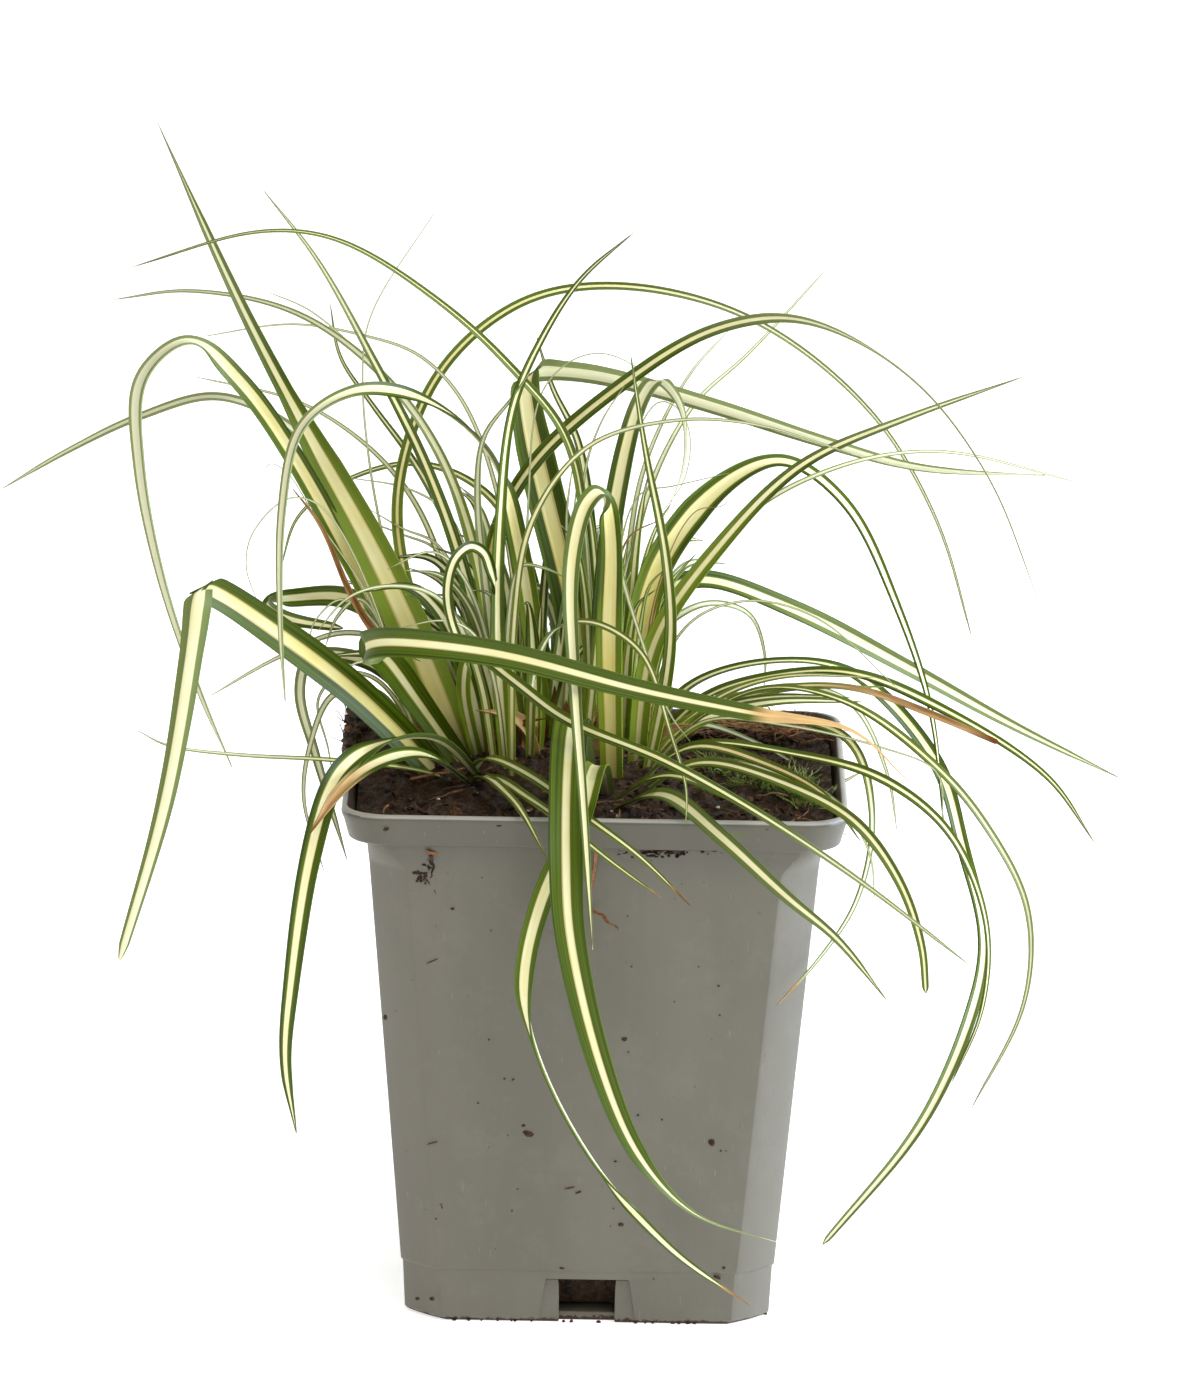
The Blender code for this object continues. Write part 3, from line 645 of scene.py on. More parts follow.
    def cutter(self, half_low: float, half_high: float, depth: float, z_low: float) -> bpy.types.Object:
        """Make a block that stands across the pot's front wall, narrower at its top.

        Args:
            half_low: half its width at the bottom.
            half_high: half its width at the top.
            depth: how far behind the foot's face it reaches.
            z_low: the height of its bottom.

        Returns:
            The block, with its place in its mesh.
        """
        size = (2 * half_low * MM, self.cutter_depth * MM, (self.notch_top - z_low) * MM)
        middle = (0, (-self.foot_half + depth - self.cutter_depth / 2) * MM,
                  (self.notch_top + z_low) / 2 * MM)
        bpy.ops.mesh.primitive_cube_add(size=1, location=middle, scale=size)
        block = bpy.context.object
        bpy.ops.object.transform_apply(location=True, rotation=True, scale=True)
        edit(block)
        select(block, "VERT", lambda v: v.co.z > (self.notch_top - 1) * MM)
        bpy.ops.transform.resize(value=(half_high / half_low, 1, 1), center_override=(0, 0, 0))
        close()
        return block

    def cut_feet(self, thing: bpy.types.Object) -> None:
        """Cut the shallow recess and the drain notch into the foot of each side.

        Args:
            thing: the pot to cut.
        """
        recess = self.cutter(self.recess_half_low, self.recess_half_high, self.recess_depth,
                             self.recess_low)
        notch = self.cutter(self.notch_half, self.notch_half, 2 * self.wall, self.notch_low)
        for quarter in range(4):
            turn = Matrix.Rotation(math.radians(90 * quarter), 4, "Z")
            for block in (recess, notch):
                turned = add_object("cutter", block.data.copy())
                turned.data.transform(turn)
                apply_modifier(thing, "BOOLEAN", operation="DIFFERENCE", solver="EXACT", object=turned)
                bpy.data.objects.remove(turned)
        bpy.data.objects.remove(recess)
        bpy.data.objects.remove(notch)

    def mark_grime_and_painted_light(self, thing: bpy.types.Object) -> None:
        """Write the pot's grime inside the rim, the painted highlight on its lip and the painted shade on its
        rim face.

        Args:
            thing: the pot, which gets one attribute with one value in each channel: grime, lip highlight, rim
                shade.
        """
        use = thing.data.attributes.new("use", "FLOAT_COLOR", "POINT")
        for vertex in thing.data.vertices:
            outward = Vector((vertex.co.x, vertex.co.y, 0)).normalized().dot(vertex.normal)
            grimy = vertex.co.z > (self.skirt_z + 1) * MM and outward < -0.3
            # the top ring of the lip gets a painted highlight
            lip_highlight = vertex.co.z > (self.height - self.lip_highlight_depth) * MM and not grimy
            # the rim band's outer face below the lip gets painted shade
            rim_shade = vertex.co.z > (self.skirt_z - 0.3) * MM and not grimy and not lip_highlight
            use.data[vertex.index].color = (float(grimy), float(lip_highlight), float(rim_shade), 1.0)

    def build(self) -> None:
        """Build the pot, dress it and hand it over."""
        thing = self.raise_walls()
        self.cut_feet(thing)
        apply_modifier(thing, "BEVEL", width=self.edge_round * MM, segments=2, limit_method="ANGLE",
                       angle_limit=math.radians(self.round_above), use_clamp_overlap=True)
        smooth(thing, self.crisp_above)
        self.mark_grime_and_painted_light(thing)
        thing.data.materials.clear()
        thing.data.materials.append(MouldedPlastic().make())
        hand_over(thing, "nursery_pot", "pot_plastic", ["pot"])


# ---------------------------------------------------------------- the peat

@dataclass(frozen=True)
class Hill:
    """A smooth hill on the bed: its rise, the place of its top and its spread, in millimetres."""

    rise: float
    centre: tuple[float, float]
    spread: tuple[float, float]

    def height(self, x: float, y: float) -> float:
        """Give the hill's height over the bed.

        Args:
            x: the place from left to right, in millimetres.
            y: the place from front to back.

        Returns:
            The height in millimetres.
        """
        across = (x - self.centre[0]) / self.spread[0]
        along = (y - self.centre[1]) / self.spread[1]
        return self.rise * math.exp(-across * across - along * along)


@dataclass
class PeatBed:
    """The bed of peat in the pot: mounded at the crown, heaped at the left and along the back wall."""

    level: float = 92.0
    half: float = 42.5
    corner: float = 7.6
    ledge_half: float = 38.9
    ledge_z: float = 91.4
    foot_z: float = 2.2
    foot_half: float = 26.5
    cells: int = 210
    lump_rise: float = 1.1
    clod_rise: float = 2.4
    hills: tuple[Hill, ...] = (
        Hill(6.0, (-9, 2), (30, 24)),
        Hill(6.0, (-39, 16), (9, 22)),
        Hill(2.6, (14, 39), (30, 5)),
        Hill(1.8, (34, -14), (9, 7)),
        Hill(2.6, (43, 8), (4, 26)),
    )

    def height(self, x: float, y: float) -> float:
        """Give the height of the smooth bed at a place, in millimetres."""
        return self.level + sum(hill.height(x, y) for hill in self.hills)

    def rough_height(self, x: float, y: float) -> float:
        """Give the height of the crumbly surface: soft lumps, and clods that stand out of them.

        Args:
            x: the place from left to right, in millimetres.
            y: the place from front to back.

        Returns:
            The height in millimetres.
        """
        lumps = noise.fractal(Vector((x, y, 0)) * 0.16, 0.8, 2.1, 5)
        clods = max(0.0, noise.noise(Vector((x, y, 9)) * 0.42)) ** 1.5
        top = self.height(x, y) + self.lump_rise * lumps + self.clod_rise * clods
        return max(top, self.ledge_z + 0.2)

    def pull_in(self, point: Vector, half: float, z: float) -> Vector:
        """Move a point to a height, and inside the chamfered outline of the pot's body there.

        At the bed's full half width the outline is already right, so only the height changes.

        Args:
            point: the point in metres.
            half: the outline's half width in millimetres.
            z: the height in millimetres.

        Returns:
            The moved point in metres.
        """
        limit = (2 * half - self.corner) * MM
        excess = max(0.0, abs(point.x) + abs(point.y) - limit) / 2 if half != self.half else 0.0
        x = point.x - math.copysign(excess, point.x)
        y = point.y - math.copysign(excess, point.y)
        return Vector((x, y, z * MM))

    def build_bed(self, finish: bpy.types.Material) -> None:
        """Build the bed as a closed block with a crumbly top.

        Args:
            finish: the peat's material.
        """
        bpy.ops.mesh.primitive_grid_add(x_subdivisions=self.cells, y_subdivisions=self.cells,
                                        size=2 * self.half * MM)
        thing = bpy.context.object
        edit(thing)
        # three cuts round off each of the four corners
        for cut in range(12):
            angle = math.radians(22.5 + 22.5 * (cut % 3) + 90 * (cut // 3))
            away = Vector((math.cos(angle), math.sin(angle), 0))
            reach = (self.half - self.corner) * (abs(away.x) + abs(away.y)) + self.corner
            bpy.ops.mesh.select_all(action="SELECT")
            bpy.ops.mesh.bisect(plane_co=away * reach * MM, plane_no=away, clear_outer=True)
        work = bmesh.from_edit_mesh(thing.data)
        for vertex in work.verts:
            vertex.co.z = self.rough_height(vertex.co.x / MM, vertex.co.y / MM) * MM
        bmesh.update_edit_mesh(thing.data)
        select(thing, "EDGE", lambda e: e.is_boundary)
        half = self.half
        for next_half, z in ((half, self.ledge_z), (self.ledge_half, self.ledge_z - 0.2),
                             (self.foot_half, self.foot_z)):
            bpy.ops.mesh.extrude_edges_move(TRANSFORM_OT_translate={"value": (0, 0, -MM)})
            work = bmesh.from_edit_mesh(thing.data)
            for vertex in work.verts:
                if vertex.select:
                    vertex.co = self.pull_in(vertex.co * next_half / half, next_half, z)
            bmesh.update_edit_mesh(thing.data)
            half = next_half
        bpy.ops.mesh.edge_face_add()
        bpy.ops.mesh.select_all(action="SELECT")
        bpy.ops.mesh.normals_make_consistent(inside=False)
        close()
        smooth(thing, 60)
        thing.data.materials.append(finish)
        hand_over(thing, "peat_bed", "peat", ["soil"])


@dataclass
class Scatter:
    """Many small copies of a few crumbs, gathered in one piece."""

    name: str
    slot: str
    seed: int

    def __post_init__(self) -> None:
        """Start with an empty mesh and a seeded source of chance."""
        self.work = bmesh.new()
        self.chance = random.Random(self.seed)
        self.finishes: list[bpy.types.Material] = []

    def add(self, pattern: bpy.types.Mesh, finish: bpy.types.Material, place: Matrix) -> None:
        """Add one copy of a pattern.

        Args:
            pattern: the mesh to copy.
            finish: the copy's material.
            place: where it goes, how it is turned and how big it is.
        """
        if finish not in self.finishes:
            self.finishes.append(finish)
        copy = pattern.copy()
        copy.transform(place)
        for face in copy.polygons:
            face.material_index = self.finishes.index(finish)
        self.work.from_mesh(copy)
        bpy.data.meshes.remove(copy)

    def turned(self, at: Sequence[float], size: float, tilt: float = 0.5,
               shape: Sequence[float] = (1.0, 1.0, 1.0)) -> Matrix:
        """Give a chance placement at a point.

        Args:
            at: the point in millimetres.
            size: the copy's size in millimetres.
            tilt: the most that it leans, in radians.
            shape: its size along each of its own axes, as shares of the size.

        Returns:
            The placement, in metres.
        """
        spin = Matrix.Rotation(self.chance.uniform(0, 2 * math.pi), 4, "Z")
        lean = Matrix.Rotation(self.chance.uniform(-tilt, tilt), 4, "X")
        scale = Matrix.Diagonal((*(size * share * MM for share in shape), 1))
        return Matrix.Translation(Vector(at) * MM) @ spin @ lean @ scale

    def build(self, nodes: Sequence[str] = ()) -> None:
        """Turn what was gathered into one piece and hand it over.

        Args:
            nodes: the CAD nodes that it stands for.
        """
        mesh = bpy.data.meshes.new(self.name)
        self.work.to_mesh(mesh)
        self.work.free()
        thing = add_object(self.name, mesh)
        for finish in self.finishes:
            mesh.materials.append(finish)
        smooth(thing, 40)
        hand_over(thing, self.name, self.slot, nodes)


def shape_crumb(seed: int, detail: int, uneven: float = 0.45) -> bpy.types.Mesh:
    """Shape an uneven, flattened crumb, one unit in radius, from a small ball.

    Args:
        seed: picks which uneven shape.
        detail: 1 for 20 faces or 2 for 80.
        uneven: how far its surface wanders in and out.

    Returns:
        The crumb's mesh.
    """
    bpy.ops.mesh.primitive_ico_sphere_add(subdivisions=detail, radius=1.0)
    thing = bpy.context.object
    edit(thing)
    bpy.ops.mesh.select_all(action="SELECT")
    work = bmesh.from_edit_mesh(thing.data)
    for vertex in work.verts:
        vertex.co *= 1 + uneven * noise.noise(vertex.co * 1.7 + Vector((seed * 5.3, 0, 0)))
    bmesh.update_edit_mesh(thing.data)
    bpy.ops.transform.resize(value=(1.0, 0.8, 0.6), center_override=(0, 0, 0))
    close()
    mesh = thing.data
    bpy.data.objects.remove(thing)
    return mesh


def shape_strand(seed: int, steps: int = 9, curl: float = 0.35, narrowing: float = 0.88) -> bpy.types.Mesh:
    """Shape a thin crooked strand, one unit long, as a three-sided tube that narrows to its end.

    Args:
        seed: picks which crooked shape.
        steps: how many times it is extruded.
        curl: how far it wanders.
        narrowing: what each step leaves of the width.

    Returns:
        The strand's mesh.
    """
    bpy.ops.mesh.primitive_circle_add(vertices=3, radius=0.03, fill_type="NGON")
    thing = bpy.context.object
    edit(thing)
    bpy.ops.mesh.select_all(action="SELECT")
    chance = random.Random(seed)
    drift = Vector((chance.uniform(-1, 1), chance.uniform(-1, 1), 0)) * curl
    for _ in range(steps):
        drift += Vector((chance.uniform(-1, 1), chance.uniform(-1, 1), 0)) * curl * 0.8
        move = Vector((drift.x, drift.y, 1.0)).normalized() / steps
        bpy.ops.mesh.extrude_region_move(TRANSFORM_OT_translate={"value": move})
        middle = sum((v.co for v in bmesh.from_edit_mesh(thing.data).verts if v.select), Vector()) / 3
        bpy.ops.transform.resize(value=(narrowing,) * 3, center_override=middle)
    bpy.ops.mesh.select_all(action="SELECT")
    bpy.ops.mesh.normals_make_consistent(inside=False)
    close()
    mesh = thing.data
    bpy.data.objects.remove(thing)
    return mesh


@dataclass
class GroundCover:
    """What lies on the peat and clings to the pot: crumbs, rootlets, bark, grit and moss.

    Boxes are (low x, low y, high x, high y) and grains of grit (x, y). Splashes on the pot's front are
    (x, z, width, height), and clumps of moss ((x, y), radius, share of the fronds).
    """

    bed: PeatBed
    rim_z: float = 96.0
    rim_y: float = -44.7
    skirt_z: float = 90.0
    step_z: float = 10.0
    step_y: float = -33.65
    wall_slope: float = 0.0857
    crumb_count: int = 700
    strand_count: int = 320
    chip_count: int = 70
    ridge_fibres: int = 260
    heap_crumbs: int = 300
    back_crumbs: int = 90
    heap_fibres: int = 60
    rim_crumbs: int = 60
    cluster_bits: int = 26
    speck_count: int = 36
    foot_crumbs: int = 54
    moss_fronds: int = 300
    bed_box: tuple[float, ...] = (-38, -38, 38, 38)
    chip_box: tuple[float, ...] = (0, 33, 37, 39)
    cluster_heights: tuple[float, float] = (82.4, 87.2)
    foot_reach: float = 26.0
    foot_face: float = 32.3
    grains: tuple[tuple[float, float], ...] = (
        (-28, -27), (3, -29), (4, -33), (-12, -30), (22, -24), (31, -3))
    clumps: tuple[tuple[tuple[float, float], float, float], ...] = (
        ((34, -13), 5.0, 1.0), ((28, -8), 4.0, 0.35), ((22, -1), 3.5, 0.3), ((37, -20), 3.0, 0.2))
    splashes: tuple[tuple[float, float, float, float], ...] = (
        (-36.7, 57.4, 0.8, 1.1), (5.9, 54, 1.0, 0.9), (22.5, 64.3, 0.5, 0.4), (-25, 77.9, 0.7, 0.5),
        (-11, 35.9, 1.9, 1.3), (-11.8, 37.4, 0.7, 0.5), (21.8, 34.8, 1.1, 1.7), (5.9, 18.9, 1.1, 0.8),
        (-28, 33.8, 2.2, 0.3), (-3.4, 25.7, 2.1, 0.3), (-1.8, 24.9, 1.2, 0.4), (-4.6, 10.4, 0.9, 0.4),
        (23.3, 9.2, 1.6, 0.7), (24.5, 11, 0.6, 0.5), (-30.4, 4.2, 0.9, 0.8), (-27.8, 4.2, 1.0, 1.0),
        (-28.5, 68, 2.2, 0.25), (-13.8, 46, 0.6, 0.3), (4.7, 30.9, 0.5, 0.4), (8.6, 39.7, 0.4, 0.4),
        (-20, 41.5, 0.4, 0.3), (-37.2, 95.0, 0.9, 0.4), (-36.9, 93.4, 1.0, 0.7), (-33.4, 95.0, 1.9, 0.4),
        (-18.6, 94.9, 0.7, 0.4), (-16.9, 94.5, 1.1, 0.6), (12.5, 95.0, 0.9, 0.3), (30.5, 94.6, 0.7, 0.4),
    )

    def __post_init__(self) -> None:
        """Shape the few patterns and mix the few finishes that everything is made from."""
        self.crumbs = [shape_crumb(seed, 1) for seed in range(4)]
        self.chips = [shape_crumb(seed + 10, 2) for seed in range(3)]
        self.strands = [shape_strand(seed) for seed in range(5)]
        self.twig = shape_strand(20, curl=0.08)
        self.peat = CrumbFinish("dark_peat", "0e0905", "5c4026", 1.6, 0.72).make()
        self.bark = CrumbFinish("bark_fibre", "3a2410", "8f6238", 1.2, 0.7).make()
        self.caked = CrumbFinish("caked_peat", "23150b", "5b3d26", 0.8).make()
        self.root = CrumbFinish("dry_rootlet", "7a4a28", "c08a5a", 1.5, 0.7).make()
        self.grit = CrumbFinish("pale_grit", "cfc8b8", "f2efe6", 0.8).make()
        self.straw = CrumbFinish("bleached_fibre", "9a744c", "e6d2ac", 1.0, 0.6).make()
        self.moss = CrumbFinish("cushion_moss", "3a4318", "a2b356", 1.6, 0.75).make()

    def on_bed(self, x: float, y: float, lift: float = 0.0) -> tuple[float, float, float]:
        """Give the point of the crumbly surface at a place."""
        return (x, y, self.bed.rough_height(x, y) + lift)

    def places(self, chance: random.Random, count: int,
               box: Sequence[float]) -> Iterator[tuple[float, float]]:
        """Give so many chance places in a box, in millimetres."""
        for _ in range(count):
            yield chance.uniform(box[0], box[2]), chance.uniform(box[1], box[3])

    def build_litter(self) -> None:
        """Cover the bed with crumbs, bark, rootlets and a few grains of grit."""
        litter = Scatter("peat_litter", "peat", 11)
        chance = litter.chance
        for x, y in self.places(chance, self.crumb_count, self.bed_box):
            size = chance.uniform(0.35, 1.3)
            kind = chance.choice(self.crumbs)
            finish = chance.choices((self.peat, self.bark), (5, 1))[0]
            litter.add(kind, finish, litter.turned(self.on_bed(x, y, 0.2), size, 1.5))
        for x, y in self.places(chance, self.strand_count, self.bed_box):
            length = chance.uniform(3, 11)
            finish = chance.choices((self.peat, self.bark, self.root), (4, 3, 1))[0]
            place = litter.turned(self.on_bed(x, y, 0.7), length, 0.2)
            lying = Matrix.Rotation(math.radians(88), 4, "X")
            litter.add(chance.choice(self.strands), finish, place @ lying)
        for x, y in self.places(chance, self.chip_count, self.chip_box):
            size = chance.uniform(0.6, 1.8)
            litter.add(chance.choice(self.chips), chance.choice((self.bark, self.peat)),
                       litter.turned(self.on_bed(x, y, 0.6), size, 1.0, (1.0, 0.7, 0.6)))
        for _ in range(self.ridge_fibres):
            x, rise = chance.uniform(15, 41), abs(chance.gauss(0, 1.1))
            length = chance.uniform(1.5, 5.5)
            straw = 2 if x < 30 else 0.5
            finish = chance.choices((self.bark, self.root, self.peat, self.straw), (5, 3, 1, straw))[0]
            at = (x, 30 + chance.gauss(0, 1.6), 95.2 + rise)
            place = litter.turned(at, length, 0.2, (2.0, 2.0, 1.0))
            lying = Matrix.Rotation(math.radians(80), 4, "X")
            litter.add(chance.choice(self.strands), finish, place @ lying)
        for x, y in self.grains:
            litter.add(self.crumbs[0], self.grit, litter.turned(self.on_bed(x, y, 0.5), 0.42))
        litter.build()

    def build_wall_peat(self) -> None:
        """Heap peat on the left rim and against the back wall, with fibres that hang from it."""
        heap = Scatter("rim_peat", "peat", 23)
        chance = heap.chance
        for _ in range(self.heap_crumbs):
            y = chance.uniform(-2, 39)
            bulk = math.sin(math.pi * (y + 4) / 46)
            x = -45.2 + abs(chance.gauss(0, 3.2))
            rise = chance.uniform(-4.5, 2.6 + 2.8 * bulk)
            size = chance.uniform(0.6, 1.7)
            heap.add(chance.choice(self.crumbs), chance.choices((self.peat, self.bark), (4, 1))[0],
                     heap.turned((x, y, self.rim_z + rise * (1 if x < -40 else 0.4)), size, 1.5))
        for _ in range(self.back_crumbs):
            x = chance.uniform(-40, 39)
            size = chance.uniform(0.4, 1.2)
            kind = chance.choice(self.crumbs)
            at = (x, chance.uniform(41, 44), chance.uniform(93, 96.3))
            heap.add(kind, self.peat, heap.turned(at, size, 1.5))
        for _ in range(self.heap_fibres):
            y = chance.uniform(0, 38)
            length = chance.uniform(2.5, 7)
            at = (-44.5 + chance.uniform(-0.8, 3), y, self.rim_z + chance.uniform(-1, 3))
            place = heap.turned(at, length, 1.2)
            heap.add(chance.choice(self.strands), chance.choice((self.bark, self.peat)), place)
        heap.build()

    def wall_y(self, z: float) -> float:
        """Give the y of the pot's front wall or rim at a height, in millimetres."""
        return self.step_y - (z - self.step_z) * self.wall_slope if z < self.skirt_z else self.rim_y

    def splash(self, dirt: Scatter, x: float, z: float, width: float, height: float) -> None:
        """Stick one flat splash of peat to the pot's front, or a shred of bark if it is wide.

        Args:
            dirt: the piece that it joins.
            x: where its middle is, in millimetres.
            z: how high its middle is.
            width: how wide it is.
            height: how high it is.
        """
        lean = Matrix.Rotation(dirt.chance.uniform(-0.5, 0.5), 4, "Z")
        flat = Matrix.Rotation(math.radians(90), 4, "X") @ lean
        scale = Matrix.Diagonal((width / 2 * MM, height / 2 * MM, 0.3 * MM, 1))
        place = Matrix.Translation(Vector((x, self.wall_y(z) - 0.05, z)) * MM)
        pattern = dirt.chance.choice(self.chips)
        dirt.add(pattern, self.bark if width > 2 else self.caked, place @ flat @ scale)

    def build_pot_dirt(self) -> None:
        """Stick crumbs, splashes and rootlets to the outside of the pot."""
        dirt = Scatter("pot_dirt", "peat", 37)
        chance = dirt.chance
        for _ in range(self.rim_crumbs):
            x = chance.triangular(3, 23, 6)
            size = chance.uniform(0.12, 0.5)
            kind = chance.choice(self.crumbs)
            at = (x, -40.5 - chance.uniform(0, 1.5), chance.uniform(88.4, 89.9))
            dirt.add(kind, self.caked, dirt.turned(at, size, shape=(1.6, 1.0, 1.0)))
        for x, z, width, height in self.splashes:
            self.splash(dirt, x, z, width, height)
        low, high = self.cluster_heights
        for _ in range(self.cluster_bits):
            z = chance.uniform(low, high)
            x, size = -31 + 0.4 * (z - low) + chance.gauss(0, 0.55), chance.uniform(0.25, 0.95)
            self.splash(dirt, x, z, size, size * chance.uniform(0.5, 1.2))
        for _ in range(self.speck_count):
            x, z = chance.uniform(-30, 30), chance.uniform(4, 88)
            size = chance.uniform(0.15, 0.4)
            self.splash(dirt, x, z, size, size * chance.uniform(0.5, 1.0))
        for _ in range(self.foot_crumbs):
            x, y = self.foot_reach * chance.uniform(-1, 1), -self.foot_face
            if chance.random() < 0.5:
                x = chance.choice((-self.foot_face, self.foot_face))
                y = self.foot_reach * chance.uniform(-1, 1)
            size = chance.uniform(0.2, 0.55)
            dirt.add(chance.choice(self.crumbs), self.peat, dirt.turned((x, y, size * 0.4), size, 1.5))
        for pattern, finish, x, z, length, girth, angle in (
                (self.twig, self.root, -29.8, 88.5, 5.2, 13, 88),
                (self.strands[1], self.peat, -29.0, 87.9, 4.0, 16, 190),
                (self.strands[2], self.peat, -30.2, 83.5, 2.6, 14, 80),
                (self.twig, self.root, 0.4, 89.4, 11.0, 14, 178),
                (self.strands[4], self.root, -0.4, 78.2, 2.6, 22, 165)):
            turn = Matrix.Rotation(math.radians(angle), 4, "Y")
            scale = Matrix.Diagonal((girth * MM, girth * MM, length * MM, 1))
            place = Matrix.Translation(Vector((x, self.wall_y(z) - 0.4, z)) * MM)
            dirt.add(pattern, finish, place @ turn @ scale)
        dirt.build()

    def build_moss(self) -> None:
        """Grow the moss: small feathery fronds in a cushion and in thinner tufts round it."""
        moss = Scatter("moss_tuft", "moss", 41)
        chance = moss.chance
        for (x, y), radius, share in self.clumps:
            for _ in range(int(self.moss_fronds * share)):
                reach = radius * math.sqrt(chance.random())
                angle = chance.uniform(0, 2 * math.pi)
                at = self.on_bed(x + reach * math.cos(angle), y + reach * math.sin(angle), 0.2)
                length = chance.uniform(1.8, 4.2) * (1.2 - 0.6 * reach / radius)
                frond = chance.choice(self.strands)
                moss.add(frond, self.moss, moss.turned(at, length, 0.9, (3.2, 3.2, 1.0)))
        moss.build(["moss_patch"])

    def build(self) -> None:
        """Build everything that lies on the peat or clings to the pot."""
        self.build_litter()
        self.build_wall_peat()
        self.build_pot_dirt()
        self.build_moss()


# ---------------------------------------------------------------- the leaves

class Way(Enum):
    """A way that a blade's upper face looks."""

    FRONT = (0.0, -1.0, 0.25)
    FRONT_UP = (0.0, -0.7, 0.7)
    UP = (0.0, -0.2, 1.0)
    BACK_UP = (0.0, 0.5, 1.0)
    BACK = (0.0, 1.0, 0.3)
    LEFT_FRONT = (-0.5, -0.8, 0.2)
    RIGHT_FRONT = (0.6, -0.8, 0.2)
    EDGE = (-1.0, 0.0, -0.6)


FRONT, FRONT_UP, UP, BACK_UP, BACK = Way.FRONT, Way.FRONT_UP, Way.UP, Way.BACK_UP, Way.BACK
LEFT_FRONT, RIGHT_FRONT, EDGE = Way.LEFT_FRONT, Way.RIGHT_FRONT, Way.EDGE
OVER_RIM = (UP, FRONT_UP, FRONT)
NEVER = 2.0


@dataclass(frozen=True)
class Blade:
    """One leaf blade, in millimetres.

    The route starts at (x, y) on the peat and goes on through (x, y, z) points of the midrib. The
    upper face looks along the ways, spread evenly from base to tip. A taper of 1 narrows the blade
    evenly, and a larger one keeps it wide for longer. Shares run from 0 at the base to 1 at the tip:
    the stripe's share of the width at base and tip, its shift off the middle, and the shares of the
    length up to which the blade is young green, with painted light shining through it, and from which
    it is pale or dry. Paleness is how pale it gets, burn how brown it dries, dryness how much of it
    dries, and drying the share of the length over which green turns to dry. Tip and base are shares of
    the full width, which is reached at widest_at. From tail_at on, the blade narrows to its tail, a
    share of its width. A folded blade is creased flat at its sharpest turn, so that its underside shows
    from there on. Gold is how golden its stripe is at the base, and slot the record's material slot
    that it belongs to.
    """

    name: str
    width: float
    taper: float
    route: tuple
    ways: tuple = (FRONT,)
    tip: float = 0.12
    stripe: tuple[float, float] = (0.34, 0.38)
    shift: float = 0.0
    young_and_backlit: float = 0.25
    pale: float = NEVER
    paleness: float = 0.8
    dry: float = NEVER
    burn: float = 0.3
    base: float = 0.7
    widest_at: float = 0.2
    tail_at: float = NEVER
    tail: float = 1.0
    dryness: float = 1.0
    drying: float = 0.05
    folded: bool = False
    gold: float = 0.35
    slot: str = "striped_leaf"


